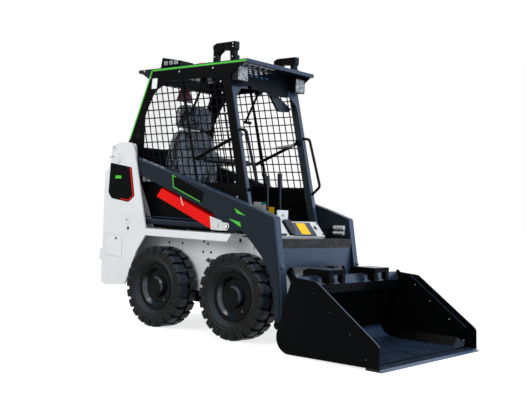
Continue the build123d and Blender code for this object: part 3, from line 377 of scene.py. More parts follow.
def piece(name, mesh, material, body="chassis"):
    """Adds a mesh as a piece that rides on a body and takes its finish from a slot."""
    data = bpy.data.meshes.new(name)
    bmesh.ops.recalc_face_normals(mesh, faces=mesh.faces)
    mesh.to_mesh(data)
    mesh.free()
    obj = bpy.data.objects.new(name, data)
    bpy.context.scene.collection.objects.link(obj)
    data.materials.append(mats[material])
    for polygon in data.polygons:
        polygon.use_smooth = True
    data.set_sharp_from_angle(angle=SHARP_ANGLE)
    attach(obj, body)
    return obj


def add(name, material, draw, *shapes, body="chassis", slot=None):
    """A piece of one or more shapes, each given as what its drawing function takes after the mesh."""
    mesh = bmesh.new()
    for shape in shapes:
        draw(mesh, *shape)
    return piece(name, mesh, material, body)


def add_bevel(obj, width, segments=2, degrees=35):
    rounding = obj.modifiers.new("edge", "BEVEL")
    rounding.width = width
    rounding.segments = segments
    rounding.limit_method = "ANGLE"
    rounding.angle_limit = math.radians(degrees)
    return rounding


def grid_faces(mesh, rows, closed_rows=False, closed_columns=False):
    """Joins rows of points into quads. Returns the vertices, row by row."""
    verts = [[mesh.verts.new(p) for p in row] for row in rows]
    for i in range(len(verts) if closed_rows else len(verts) - 1):
        row, after = verts[i], verts[(i + 1) % len(verts)]
        for j in range(len(row) if closed_columns else len(row) - 1):
            k = (j + 1) % len(row)
            mesh.faces.new((row[j], row[k], after[k], after[j]))
    return verts


def bend(before, corner, after, cut, steps):
    """The points that round off a corner, from cut before it to cut after it."""
    start = corner + (before - corner).normalized() * cut
    end = corner + (after - corner).normalized() * cut
    shares = (k / steps for k in range(steps + 1))
    return [start * (1 - t) ** 2 + corner * 2 * t * (1 - t) + end * t ** 2 for t in shares]


def rounded(points, radius, steps=4):
    """Rounds the corners of a closed outline of 2-D points, each cut back by at most a third."""
    out = []
    flat = [Vector(p) for p in points]
    for before, corner, after in zip(flat[-1:] + flat[:-1], flat, flat[1:] + flat[:1]):
        cut = min(radius, (before - corner).length / 3, (after - corner).length / 3)
        out += bend(before, corner, after, cut, steps)
    return out


def eased(points, radius=0.03, steps=5):
    """A path with its inner corners rounded off."""
    path = [Vector(p) for p in points]
    out = [path[0]]
    for before, corner, after in zip(path, path[1:], path[2:]):
        cut = min(radius, (before - corner).length / 2.2, (after - corner).length / 2.2)
        out += bend(before, corner, after, cut, steps)
    out.append(path[-1])
    return out


def oblong(a_low, b_low, a_high, b_high):
    return [(a_low, b_low), (a_high, b_low), (a_high, b_high), (a_low, b_high)]


def prism(mesh, outline, place, depth):
    """Adds a slab: an outline of 2-D points, put in place by a function of (a, b, height)."""
    low = [mesh.verts.new(place(a, b, 0.0)) for a, b in outline]
    high = [mesh.verts.new(place(a, b, depth)) for a, b in outline]
    mesh.faces.new(low)
    mesh.faces.new(high)
    for i in range(len(outline)):
        k = (i + 1) % len(outline)
        mesh.faces.new((low[i], low[k], high[k], high[i]))


def side_slab(mesh, outline, y, depth):
    """A slab in a side view, standing off from y by depth: outward, or inward where it is negative."""
    sign = 1 if y > 0 else -1
    prism(mesh, outline, lambda a, b, h: Vector((a, y + sign * h, b)), depth)


def front_slab(mesh, outline, x, depth):
    """A slab in a front view, standing off from x by depth: forward, or back where it is negative."""
    prism(mesh, outline, lambda a, b, h: Vector((x + h, a, b)), depth)


def ring(centre, radius, across, other, sides):
    angles = (TURN * k / sides for k in range(sides))
    return [centre + radius * (math.cos(t) * across + math.sin(t) * other) for t in angles]


def close_ends(mesh, rings):
    verts = grid_faces(mesh, rings, closed_columns=True)
    mesh.faces.new(verts[0])
    mesh.faces.new(verts[-1])


def round_bar(mesh, points, radius, sides=10):
    """A smooth bar through points, with one radius or one for each point."""
    path = [Vector(p) for p in points]
    rings = []
    across = None
    for i, p in enumerate(path):
        ahead = (path[min(i + 1, len(path) - 1)] - path[max(i - 1, 0)]).normalized()
        if across is None:
            across = ahead.orthogonal().normalized()
        across = (across - ahead * across.dot(ahead)).normalized()
        r = radius[i] if isinstance(radius, (list, tuple)) else radius
        rings.append(ring(p, r, across, ahead.cross(across), sides))
    close_ends(mesh, rings)


def turned(mesh, place, axis, profile, sides=24):
    """A body of revolution: (radius, height) points along an axis from a place."""
    axis = Vector(axis).normalized()
    across = axis.orthogonal().normalized()
    rings = [ring(Vector(place) + axis * height, radius, across, axis.cross(across), sides)
             for radius, height in profile]
    close_ends(mesh, rings)


def bolt(mesh, place, axis, size=0.008, washer=True):
    """A hexagon bolt head on a washer; size is half the width over its corners."""
    seat = 0.002
    if washer:
        turned(mesh, place, axis, [(size * 1.5, 0), (size * 1.5, 0.0016), (size * 1.4, seat)], 20)
    turned(mesh, Vector(place) + Vector(axis) * seat, axis,
           [(size, 0), (size, size * 0.6), (size * 0.84, size * 0.75)], 6)


def bolts(name, material, places, axis, size=0.008, washer=True, body="chassis", slot=None):
    return add(name, material, bolt, *[(place, axis, size, washer) for place in places], body=body, slot=slot)


# Tyres

TYRE_TURNS = 88
LUGS = 22
# half sections from the bead over the sidewall to the middle: (share of the half width, radius)
CARCASS = ((0.60, 0.163), (0.66, 0.168), (0.76, 0.180), (0.90, 0.192), (0.96, 0.196), (0.985, 0.2015),
           (0.98, 0.2065), (0.945, 0.2105), (0.925, 0.2145), (0.935, 0.219), (0.965, 0.223),
           (0.97, 0.2275), (0.95, 0.2325), (0.945, 0.246), (0.93, 0.257), (0.89, 0.266),
           (0.80, 0.2705), (0.60, 0.272), (0.3, 0.2725), (0.0, 0.2725))
BORE_SHARE, BORE_R = 0.6, 0.158
# a lug's stations from the sidewall to the middle: (share of the half width, foot, top, start, end)
LUG_STATIONS = ((0.960, 0.244, 0.2485, 0.13, 0.70), (0.985, 0.246, 0.255, 0.12, 0.71),
                (0.998, 0.255, 0.268, 0.12, 0.72), (0.985, 0.262, 0.281, 0.10, 0.74),
                (0.93, 0.266, 0.2885, 0.09, 0.75), (0.83, 0.270, 0.2912, 0.07, 0.76),
                (0.55, 0.2715, 0.292, 0.04, 0.73), (0.30, 0.272, 0.292, 0.01, 0.70),
                (0.14, 0.272, 0.292, 0.03, 0.66))
LUG_FLARE = 0.045
LUG_RAMP = 0.28
LUG_SINK = 0.004
LUG_POINT = 0.072
VALVE_ANGLE = math.radians(-48)
VALVE_PATH = ((0.082, 0.412), (0.1, 0.420), (0.112, 0.436), (0.124, 0.452))


def build_tyre(name):
    low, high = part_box(name)
    outer = (high[2] - low[2]) / 2
    centre = Vector(((low[0] + high[0]) / 2, (low[1] + high[1]) / 2, low[2] + outer))
    half = (high[1] - low[1]) / 2
    section = [(half * share, r) for share, r in CARCASS]
    section += [(-y, r) for y, r in reversed(section[:-1])]
    section += [(-half * BORE_SHARE, BORE_R), (half * BORE_SHARE, BORE_R)]

    def on_tyre(angle, y, r):
        return centre + Vector((r * math.cos(angle), y, r * math.sin(angle)))

    mesh = bmesh.new()
    rings = [[on_tyre(TURN * i / TYRE_TURNS, y, r) for y, r in section] for i in range(TYRE_TURNS)]
    grid_faces(mesh, rings, closed_rows=True, closed_columns=True)
    for sign in (1, -1):
        for i in range(LUGS):
            first = i + (0.5 if sign < 0 else 0)
            rows = []
            for station in LUG_STATIONS:
                share, foot, top, begin, end = station
                turns = (begin - LUG_FLARE, begin, begin + LUG_RAMP, (begin + end) / 2,
                         end - LUG_RAMP, end, end + LUG_FLARE)
                row = []
                for k, turn in enumerate(turns):
                    point = LUG_POINT * (1 - abs(k - 3) / 3) if station == LUG_STATIONS[-1] else 0.0
                    r = foot - LUG_SINK if k in (0, 6) else top
                    row.append(on_tyre((first + turn) * TURN / LUGS, sign * half * (share - point), r))
                rows.append(row)
            verts = grid_faces(mesh, rows)
            for row in (verts[0], verts[-1]):
                mesh.faces.new(row)
            for near, far in zip(verts, verts[1:]):
                mesh.faces.new((near[0], far[0], far[-1], near[-1]))
    body = body_of_node[name]
    obj = piece(name.replace("tyre", "tread"), mesh, "tyre_rubber", body)
    add_bevel(obj, 0.0018, 2, 32)
    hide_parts(name)

    side = 1 if centre.y > 0 else -1
    stem = [(centre.x + r * math.cos(VALVE_ANGLE), side * y, centre.z + r * math.sin(VALVE_ANGLE))
            for r, y in VALVE_PATH]
    add(name.replace("tyre", "valve"), "zinc", round_bar, (eased(stem, 0.01), 0.0042), body=body)


# Seat

SWELL_FRAMES = 12
SWELL_LIMIT = 0.005


def cushion_mesh(low, high, shape, cuts=40, power=5.0):
    """A box rounded like a full cushion, with its points moved by shape(unit point, point)."""
    mesh = bmesh.new()
    bmesh.ops.create_cube(mesh, size=2)
    bmesh.ops.subdivide_edges(mesh, edges=mesh.edges, cuts=cuts, use_grid_fill=True)
    middle = (Vector(low) + Vector(high)) / 2
    half = (Vector(high) - Vector(low)) / 2
    for vert in mesh.verts:
        u = vert.co.copy()
        length = sum(abs(c) ** power for c in u) ** (1 / power)
        u = u * (max(abs(c) for c in u) / length)
        vert.co = shape(u, middle + Vector((u.x * half.x, u.y * half.y, u.z * half.z)))
    return mesh


def groove(distance, width):
    return math.exp(-(distance / width) ** 2)


def back_shape(u, p):
    """The backrest: narrower at the top, with bolsters at its sides and a lumbar swell."""
    share = (u.z + 1) / 2
    p.y *= 1.0 - 0.24 * max(0.0, share - 0.35) ** 1.3 / 0.57
    if u.x > 0:
        p.x -= 0.016 * groove(u.y, 0.45) * (1 - groove(u.z + 0.5, 0.35) * 0.7)
        p.x -= 0.012 * (groove(abs(u.y) - 0.6, 0.045) + groove(u.z - 0.35, 0.05) * (abs(u.y) < 0.6))
    p.x -= 0.004 * groove(u.x - 0.15, 0.08)
    return p


def head_shape(u, p):
    """The headrest: a little narrower at the top and hollowed across."""
    p.y *= 1.0 - 0.1 * (u.z + 1) / 2
    if u.x > 0:
        p.x -= 0.006 * groove(u.z, 0.5)
    return p


def pan_shape(u, p):
    """The seat pan: dished, with side bolsters and sewn channels across it."""
    if u.z > 0:
        p.z -= 0.018 * groove(u.y, 0.5) * groove(u.x + 0.1, 0.8)
        p.z -= 0.010 * (groove(abs(u.y) - 0.62, 0.04) + groove(u.x - 0.3, 0.04) * (abs(u.y) < 0.62))
        p.z -= 0.010 * max(0.0, u.x - 0.6) / 0.4
    return p


# name, node, low corner, high corner and shape of each padded piece
CUSHIONS = (("seat_pan", "seat_cushion", (-0.835, -0.219, 0.905), (-0.374, 0.219, 1.004), pan_shape),
            ("seat_rest", "seat_back", (-0.878, -0.219, 1.018), (-0.80, 0.219, 1.462), back_shape),
            ("head_rest", "seat_back", (-0.874, -0.144, 1.486), (-0.802, 0.144, 1.644), head_shape))
# name, material, low corner, high corner and shape of each film
FILMS = (("seat_film", "film", (-0.882, -0.252, 1.016), (-0.785, 0.252, 1.47), back_shape),
         ("head_film", "head_film", (-0.882, -0.178, 1.478), (-0.788, 0.178, 1.662), head_shape))


def soften(obj):
    """Lets the cushion swell and crease as cloth over foam, held close to the shape it was given."""
    cloth = obj.modifiers.new("cloth", "CLOTH")
    cloth.settings.use_pressure = True
    cloth.settings.uniform_pressure_force = 3.0
    cloth.settings.tension_stiffness = 12
    cloth.settings.bending_stiffness = 0.4
    cloth.settings.effector_weights.gravity = 0
    cloth.point_cache.frame_end = SWELL_FRAMES
    scene = bpy.context.scene
    for number in range(1, SWELL_FRAMES + 1):
        scene.frame_set(number)
    swollen = obj.evaluated_get(bpy.context.evaluated_depsgraph_get()).to_mesh()
    moved = [v.co.copy() for v in swollen.vertices]
    obj.modifiers.remove(cloth)
    for vert, new in zip(obj.data.vertices, moved):
        move = new - vert.co
        if move.length > SWELL_LIMIT:
            move *= SWELL_LIMIT / move.length
        vert.co += move
    scene.frame_set(1)


def crease(obj, scale, depth, seed):
    """Moves a mesh's points along their normals by ridged noise."""
    normals = [v.normal.copy() for v in obj.data.vertices]
    for vert, normal in zip(obj.data.vertices, normals):
        value = noise.fractal(vert.co * scale + Vector((seed, 0, 0)), 0.9, 2.1, 4)
        vert.co += normal * depth * (1 - 2.2 * abs(value))


def build_seat():
    for name, node, low, high, shape in CUSHIONS:
        obj = piece(name, cushion_mesh(low, high, shape), "seat_cover")
        soften(obj)
        crease(obj, 9, 0.0012, 3.0)
        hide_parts(node)
        rounding = obj.modifiers.new("smooth", "SUBSURF")
        rounding.levels = rounding.render_levels = 1
    add("head_rest_posts", "rod_chrome", round_bar,
        *[([(-0.838, y, 1.44), (-0.838, y, 1.52)], 0.0065, 12) for y in (-0.06, 0.06)])
    for name, material, low, high, shape in FILMS:
        obj = piece(name, cushion_mesh(low, high, shape, cuts=56, power=4.5), material)
        crease(obj, 10, 0.0035, 11.0)
        crease(obj, 28, 0.0014, 5.0)
        obj.data.set_sharp_from_angle(angle=math.pi)


# Cab

LINE_DEPTH = 0.0012
LINE_W = 0.0135
ROOF_LINE = ((-0.933, 1.8835), (0.029, 1.8835), (0.029, 1.8955), (-0.925, 1.8955))
EDGE_LINE_Z = (1.375, 1.89)
CAB_BOLT_R = 0.0062
POST_BOLT_X, POST_BOLT_Z = -0.186, 1.703
POST_BOLTS_Z = (0.96, 1.06, 1.3, 1.42, 1.54, 1.68, 1.76)
WALL_BOLTS = ((-0.93, 1.835), (-0.28, 1.86), (-0.62, 1.86), (-0.4, 1.012), (-0.7, 1.012))
PORT = (-1.048, 1.402)
CAB_PLATE = ((-0.918, 1.752), (-0.862, 1.752), (-0.855, 1.828), (-0.911, 1.828))
# black panel over the header and post tops, in (y, z): the visor, with painted shade over the parts that sit
# back under the roof; the rows of vent slots in it and in the roof, filled white as painted daylight through
# them; and the header's slots, drawn as painted glints
VISOR = ((-0.371, 1.7275), (-0.371, 1.8772), (0.371, 1.8772), (0.371, 1.820), (0.31, 1.812),
         (0.262, 1.775), (0.235, 1.716), (0.02, 1.706), (-0.02, 1.728), (-0.165, 1.728),
         (-0.172, 1.752), (-0.30, 1.7275))
VISOR_GAP, VISOR_DEPTH = 0.0008, 0.003
VENT_COUNTS = (4, 3, 3, 2, 1)
VENT_PITCH_Y, VENT_PITCH_Z = 0.0595, 0.0135
HEADER_GLINTS_Y = (-0.147, -0.092, -0.037, 0.018)
ROOF_SLOT_PITCH = 0.059
MARKER = ((-0.09, 1.70), (0.09, 1.70), (0.045, 1.80), (-0.045, 1.80))
MARKER_X = -0.955


def cab_back(z):
    """x of the cab's rear edge at a height."""
    return CAB_BACK_X - (CAB_BACK_Z - z) * CAB_BACK_LEAN


def on_header(y, z, height):
    """A point on the front of the leaning posts and header."""
    return Vector((POST_X - (z - POST_Z) * POST_LEAN + VISOR_GAP + height, y, z))


def on_visor(y, z, height):
    return on_header(y, z, VISOR_DEPTH + height)


def build_cab_trim():
    low, high = EDGE_LINE_Z
    edge_line = [(cab_back(low), low), (cab_back(low) + LINE_W, low),
                 (cab_back(high) + LINE_W, high), (cab_back(high), high)]
    bolts_xz = [(POST_BOLT_X + (POST_BOLT_Z - z) * POST_LEAN, z) for z in POST_BOLTS_Z]
    bolts_xz += WALL_BOLTS
    x, z = PORT
    for side, sign in SIDES.items():
        y = sign * CAB_FACE
        out = (0, sign, 0)
        add(f"roof_line_{side}", "green_paint", side_slab, (ROOF_LINE, y, LINE_DEPTH), slot="black_paint")
        add(f"cab_edge_line_{side}", "green_paint", side_slab, (edge_line, y, LINE_DEPTH), slot="black_paint")
        bolts(f"cab_bolts_{side}", "zinc", [(bx, y, bz) for bx, bz in bolts_xz], out, CAB_BOLT_R, False)
        add(f"side_port_{side}", "plastic_black", turned,
            ((x, y - sign * 0.003, z), out, [(0.012, 0), (0.012, 0.004), (0.008, 0.006)]),
            ((x, y - sign * 0.004, z), out, [(0.034, 0), (0.033, 0.0018), (0.03, 0.002)], 32))
    add("cab_plate", "label_white", side_slab, (rounded(CAB_PLATE, 0.004), -CAB_FACE, 0.0008))
    add("roof_brace_bolts", "zinc", bolt,
        *[((-1.0, sign * CAB_FACE, 1.8895), (0, sign, 0), 0.008, False) for sign in SIDES.values()])

    # the visor, and painted shade over the header and post fronts under the roof
    add("visor_shade_panel", "black_paint", prism, (rounded(VISOR, 0.008), on_header, VISOR_DEPTH))
    vents = []
    for column, count in enumerate(VENT_COUNTS):
        for row in range(count):
            y = -0.212 + column * VENT_PITCH_Y
            z = 1.871 - row * VENT_PITCH_Z
            vents.append(rounded(oblong(y - 0.015, z - 0.0035, y + 0.015, z + 0.0035), 0.002))
    # white fill of the vent slots: painted daylight seen through the visor
    add("visor_slot_daylight", "label_white", prism, *[(vent, on_visor, 0.0008) for vent in vents])
    # bluish patches on the header: painted glints in its slots
    slots = [rounded([(y - 0.014, 1.820), (y + 0.014, 1.818), (y + 0.017, 1.835), (y - 0.011, 1.837)], 0.004)
             for y in HEADER_GLINTS_Y]
    add("header_slot_glints", "edge_paint", prism, *[(slot, on_visor, 0.001) for slot in slots])
    panes = []
    for column in range(7):
        for row in range(2):
            x = -0.012 - row * ROOF_SLOT_PITCH
            y = -0.324 + column * ROOF_SLOT_PITCH
            panes.append(oblong(x - 0.028, y - 0.02, x, y + 0.02))
    # white fill of the roof's slots: painted daylight seen through them
    add("visor_pane_daylight", "label_white", prism,
        *[(pane, lambda a, b, h: Vector((a, b, 1.8945 + h)), 0.002) for pane in panes])

    # reflector above the rear window, facing forward and back
    add("rear_marker", "red_lens", front_slab, (rounded(MARKER, 0.008), MARKER_X, 0.006))
    add("rear_marker_stay", "black_paint", round_bar,
        ([(MARKER_X - 0.001, 0, 1.79), (MARKER_X - 0.001, 0, 1.874)], 0.006))


# Lamps

LAMP_Y = (0.266, 0.371)
LAMP_Z = (1.762, 1.864)
LAMP_X = -0.0522
LAMP_CELL = (0.0245, 0.019)
LAMP_PITCH = (0.0285, 0.0225)
ROOF_LAMP_Y = 0.335
FIN_COUNT, FIN_START, FIN_PITCH, FIN_DEPTH = 11, -0.300, 0.0145, 0.004
FIN_HALF_W, FIN_FOOT, FIN_TOP, LOW_FIN_TOP = 0.0205, 2.004, 2.0345, 2.024
ROOF_LAMP_BOLTS = ((-0.118, 1.93), (-0.118, 2.0), (-0.118, 2.02), (-0.29, 1.94))
REAR_CELL_PITCH = 0.055
BEACON_X = -0.77
BEACON_PITCH = 0.0135


def build_lamps():
    low, high = LAMP_Z
    cell_w, cell_h = LAMP_CELL
    for side, sign in SIDES.items():
        inner, outer = sorted(sign * y for y in LAMP_Y)
        cells = [(rounded(oblong(inner + 0.004, low + 0.004, outer - 0.004, high - 0.004), 0.006),
                  LAMP_X + 0.0001, 0.002)]
        for row in range(4):
            for column in range(3):
                y = inner + 0.012 + column * LAMP_PITCH[0]
                z = low + 0.008 + row * LAMP_PITCH[1]
                cells.append((rounded(oblong(y, z, y + cell_w, z + cell_h), 0.003), LAMP_X, 0.0035))
        add(f"headlamp_cells_{side}", "lamp_lens", front_slab, *cells)
        rim = [(LAMP_X + 0.0017, y, z) for y, z in oblong(inner, low, outer, high)]
        add(f"headlamp_rim_{side}", "plastic_black", round_bar,
            *[((a, b), 0.003, 8) for a, b in zip(rim, rim[1:] + rim[:1])])
        # the work lamp on the roof has cooling fins on top
        y = sign * ROOF_LAMP_Y
        fins = [(oblong(y - FIN_HALF_W, FIN_FOOT, y + FIN_HALF_W, FIN_TOP if k > 1 else LOW_FIN_TOP),
                 FIN_START + k * FIN_PITCH, FIN_DEPTH) for k in range(FIN_COUNT)]
        add(f"roof_lamp_fins_{side}", "plastic_black", front_slab, *fins)
        bolts(f"roof_lamp_bolts_{side}", "zinc", [(x, sign * 0.3575, z) for x, z in ROOF_LAMP_BOLTS],
              (0, sign, 0), 0.005, False)
    starts = [-0.95 + k * REAR_CELL_PITCH for k in range(3)]
    add("rear_lamp_cells", "lamp_lens", side_slab,
        *[(rounded(oblong(x, 1.955, x + 0.04, 1.985), 0.006), -0.2305, 0.003) for x in starts])
    rib = [(0.0425, 0), (0.0428, 0.002), (0.0425, 0.004)]
    ribs = [((BEACON_X, 0, 1.9075 + k * BEACON_PITCH), UP, rib, 32) for k in range(5)]
    foot = ((BEACON_X, 0, 1.9024), UP, [(0.048, 0), (0.048, 0.006), (0.045, 0.008)], 32)
    add("beacon_ribs", "amber_lens", turned, *ribs, foot)


# Controls

LEVER_Y = 0.07
GRIP_STEPS = 12
GRIP_LOW, GRIP_TOP = (0.0, 1.035), (-0.022, 1.145)
GRIP_R, FINGER_SWELL = 0.0165, 0.0022
GRIP_HEAD, GRIP_END = 0.004, -0.002
BOOT_FOLDS, BOOT_TAPER, BOOT_PITCH = 6, 0.003, 0.011
FOAM = ((-0.24, 0.013), (-0.235, 0.021), (-0.1, 0.0215), (0.1, 0.0215), (0.235, 0.021), (0.24, 0.013))
LAP_BAR_X, LAP_BAR_Z = -0.462, 1.23
SPRING = ((-0.075, 0.30, 1.37), (-0.23, 0.30, 1.352), (-0.30, 0.30, 1.345))
MAT_HALF_W, MAT_Z = 0.25, 0.4885
MAT_RIBS_X = [-0.235 + k * 0.021 for k in range(16)]


def build_controls():
    for side, sign in SIDES.items():
        y = sign * LEVER_Y
        base = Vector((GRIP_LOW[0], y, GRIP_LOW[1]))
        tip = Vector((GRIP_TOP[0], y + sign * 0.02, GRIP_TOP[1]))
        path = [base.lerp(tip, k / GRIP_STEPS) for k in range(GRIP_STEPS + 1)]
        radii = [GRIP_R + FINGER_SWELL * math.sin(k * math.pi / 1.5) for k in range(GRIP_STEPS + 1)]
        radii[-2] += GRIP_HEAD
        radii[-1] += GRIP_END
        add(f"lever_grip_{side}", "plastic_black", round_bar, (path, radii, 20))
        boot = [(0.036, 0)]
        for k in range(BOOT_FOLDS):
            taper, rise = k * BOOT_TAPER, k * BOOT_PITCH
            boot += [(0.034 - taper, 0.006 + rise), (0.029 - taper, 0.011 + rise)]
        add(f"lever_boot_{side}", "plastic_black", turned,
            ((0.029, y, 0.504), (-0.05, 0, 1), boot + [(0.011, 0.08)]))
    # foam sleeve over the lap bar, its gas spring on the left, and the mat in the footwell
    add("lap_bar_foam", "plastic_black", round_bar,
        ([(LAP_BAR_X, y, LAP_BAR_Z) for y, r in FOAM], [r for y, r in FOAM], 20), body="lap_guard")
    add("lap_bar_spring", "zinc", round_bar, (SPRING[:2], 0.0105, 14), (SPRING[1:], 0.005, 12))
    add("floor_mat_ribs", "plastic_black", round_bar,
        *[([(x, -MAT_HALF_W, MAT_Z), (x, MAT_HALF_W, MAT_Z)], 0.003, 6) for x in MAT_RIBS_X])


# Front cover and notices

COVER_TOP, COVER_LOW = Vector((0.172, 0, 0.806)), Vector((0.256, 0, 0.706))
COVER_SLOPE = (COVER_LOW - COVER_TOP).normalized()
COVER_UP = Vector((-COVER_SLOPE.z, 0, COVER_SLOPE.x))
COVER_GAP, STEP_HEIGHT = 0.0005, 0.0081
# outlines on the cover: (distance down it, y)
STEP_LABEL = ((0.022, 0.023), (0.022, 0.123), (0.119, 0.128), (0.119, 0.026))
STEP_SIDE = ((0.002, -0.108), (0.002, -0.03), (0.095, -0.045), (0.112, -0.062), (0.124, -0.066),
             (0.124, -0.108))
STEP_BLOCK = ((0.112, -0.215), (0.112, -0.145), (0.127, -0.145), (0.127, -0.215))
# blank notices inside the far wall, low down beside the operator's legs: (x, z) corners
NOTICES = (("notice_white", "label_white", (-0.505, 0.850), (-0.427, 0.938)),
           ("notice_teal", "label_teal", (-0.423, 0.9195), (-0.365, 0.938)),
           ("notice_pale", "label_white", (-0.423, 0.850), (-0.365, 0.9185)),
           ("notice_yellow", "yellow_paint", (-0.359, 0.842), (-0.295, 0.903)),
           ("notice_yellow_2", "yellow_paint", (-0.267, 0.820), (-0.197, 0.868)))


def on_cover(distance, y, height):
    return COVER_TOP + COVER_SLOPE * distance + COVER_UP * height + Vector((0, y, 0))


def on_step(distance, y, height):
    return on_cover(distance, y, STEP_HEIGHT + height)


def just_over_cover(distance, y, height):
    return on_cover(distance, y, COVER_GAP + height)


def build_front_trim():
    add("step_plate", "yellow_paint", prism,
        (rounded(STEP_LABEL, 0.003), on_step, LINE_DEPTH), slot="grey_paint")
    add("step_side", "plastic_black", prism, (rounded(STEP_SIDE, 0.006), just_over_cover, 0.022),
        (rounded(STEP_BLOCK, 0.004), just_over_cover, 0.008))
    grommet = [(0.016, 0), (0.016, 0.0015), (0.013, 0.002)]
    add("cover_grommets", "plastic_black", turned,
        *[(on_cover(0.055, y, 0.0002), COVER_UP, grommet, 28) for y in (0.235, -0.235)])
    bolts("cover_bolts", "zinc", [on_cover(d, y, 0) for d in (0.016, 0.112) for y in (-0.28, 0.28)],
          COVER_UP, 0.007)


def build_cab_notices():
    for name, material, low, high in NOTICES:
        add(name, material, side_slab, (rounded(oblong(*low, *high), 0.002), CAB_INNER, -LINE_DEPTH),
            slot="black_paint")


# Towers

HATCH = ((-1.262, 0.49), (-1.072, 0.478), (-1.07, 0.632), (-1.262, 0.652))
HATCH_CATCH = (-1.142, 0.618)
# slotted plugs in the bosses: (x, z, distance from the middle)
BOSS_PLUGS = ((-1.204, 1.308, 0.476), (-1.214, 1.238, 0.476), (-1.022, 0.764, 0.478))
BOSS_PLUG = [(0.007, 0), (0.007, 0.0015), (0.005, 0.002)]
SMALL_PLUG = [(0.006, 0), (0.006, 0.001), (0.004, 0.0012)]
GROMMET = [(0.0128, 0), (0.0128, 0.0012), (0.011, 0.0022), (0.004, 0.0026)]
PIVOT = (-1.156, 1.234)
PIVOT_FACE = 0.478
PIVOT_BOLTS_R = 0.034
# the near tower's blank panel with its red edge and green bar
TOWER_PANEL = ((-1.242, 1.192), (-0.997, 1.157), (-0.951, 0.942), (-1.017, 0.896), (-1.216, 0.920),
               (-1.256, 0.963))
PANEL_EDGE = ((-1.03, 1.155), (-1.006, 1.152), (-0.961, 0.945), (-1.018, 0.905), (-1.11, 0.916),
              (-1.11, 0.922), (-1.021, 0.912), (-0.9725, 0.946), (-1.0145, 1.143))
PANEL_BAR = ((-1.182, 1.072), (-1.108, 1.072), (-1.114, 1.094), (-1.176, 1.094))
PANEL_DEPTH = 0.001
MARK_DEPTH = 0.0006


def build_tower_trim():
    lid = rounded(HATCH, 0.02)
    centre = Vector((sum(p[0] for p in lid) / len(lid), sum(p[1] for p in lid) / len(lid)))
    loop = [centre + (p - centre) * 1.018 for p in lid]
    x, z = PIVOT
    for side, sign in SIDES.items():
        out = (0, sign, 0)
        # inspection hatch: a shallow rounded lid with a seam round it and a quarter-turn catch
        obj = add(f"hatch_{side}", "white_paint", side_slab, (lid, sign * (TOWER_FACE - 0.0005), 0.0022))
        add_bevel(obj, 0.0012)
        add(f"hatch_seam_{side}", "seam_grey", round_bar,
            ([(p[0], sign * (TOWER_FACE + 0.0002), p[1]) for p in loop + loop[:2]], 0.0008, 6))
        add(f"hatch_catch_{side}", "plastic_black", turned,
            ((HATCH_CATCH[0], sign * (TOWER_FACE + 0.0015), HATCH_CATCH[1]), out,
             [(0.0095, 0), (0.0095, 0.002), (0.007, 0.003)], 20))
        add(f"tower_plugs_{side}", "dark_steel", turned,
            *[((px, sign * y, pz), out, BOSS_PLUG, 16) for px, pz, y in BOSS_PLUGS],
            ((-1.245, sign * (TOWER_FACE + 0.0001), 1.233), out, SMALL_PLUG))
        add(f"tower_grommet_{side}", "plastic_black", turned,
            ((-1.010, sign * (TOWER_FACE - 0.002), 0.700), out, GROMMET))
        heads = [(x + PIVOT_BOLTS_R * math.cos(a), sign * PIVOT_FACE, z + PIVOT_BOLTS_R * math.sin(a))
                 for a in (math.radians(d) for d in (60, 180, 300))]
        bolts(f"pivot_bolts_{side}", "white_paint", heads, out, 0.006, False, slot="zinc")


def build_tower_panel():
    y = SIDES["right"] * TOWER_FACE
    on_panel = SIDES["right"] * (TOWER_FACE + PANEL_DEPTH)
    add("tower_panel", "black_paint", side_slab, (rounded(TOWER_PANEL, 0.014), y, PANEL_DEPTH),
        slot="white_paint")
    add("tower_panel_edge", "red_paint", side_slab, (PANEL_EDGE, on_panel, MARK_DEPTH))
    add("tower_panel_bar", "green_paint", side_slab, (PANEL_BAR, on_panel, MARK_DEPTH), slot="white_paint")


# Frame

FRAME_GUSSET = ((-0.006, 0.688), (0.085, 0.688), (0.098, 0.640), (0.098, 0.600), (0.06, 0.628))
FRAME_HOLES = ((-0.730, 0.609), (-0.589, 0.611), (-0.371, 0.635), (-0.331, 0.622), (-0.375, 0.561),
               (-0.298, 0.563))
HOLE_RIM = [(0.0125, 0), (0.0125, 0.0012), (0.0105, 0.0016), (0.010, 0.0006)]
HOLE_PLUG = [(0.0094, 0), (0.0094, 0.0006), (0.004, 0.0018)]
TIE_DOWN = (-0.021, 0.663)
TIE_DOWN_RING = [(0.017, 0), (0.017, 0.003), (0.0145, 0.005), (0.0115, 0.003), (0.011, 0.0005)]
TIE_DOWN_HOLE = [(0.0113, 0), (0.0113, 0.0005), (0.009, 0.0008)]
PORTS = ((-0.316, 0.506), (-0.279, 0.502))
PORT_NUT = [(0.0175, 0), (0.0175, 0.006), (0.0155, 0.008), (0.0125, 0.008), (0.0125, 0.014), (0.0105, 0.015)]
PORT_TIP = [(0.009, 0.014), (0.009, 0.021), (0.0065, 0.023)]
FENDER_BOLTS_X = (-0.74, -0.5, -0.26, -0.04)


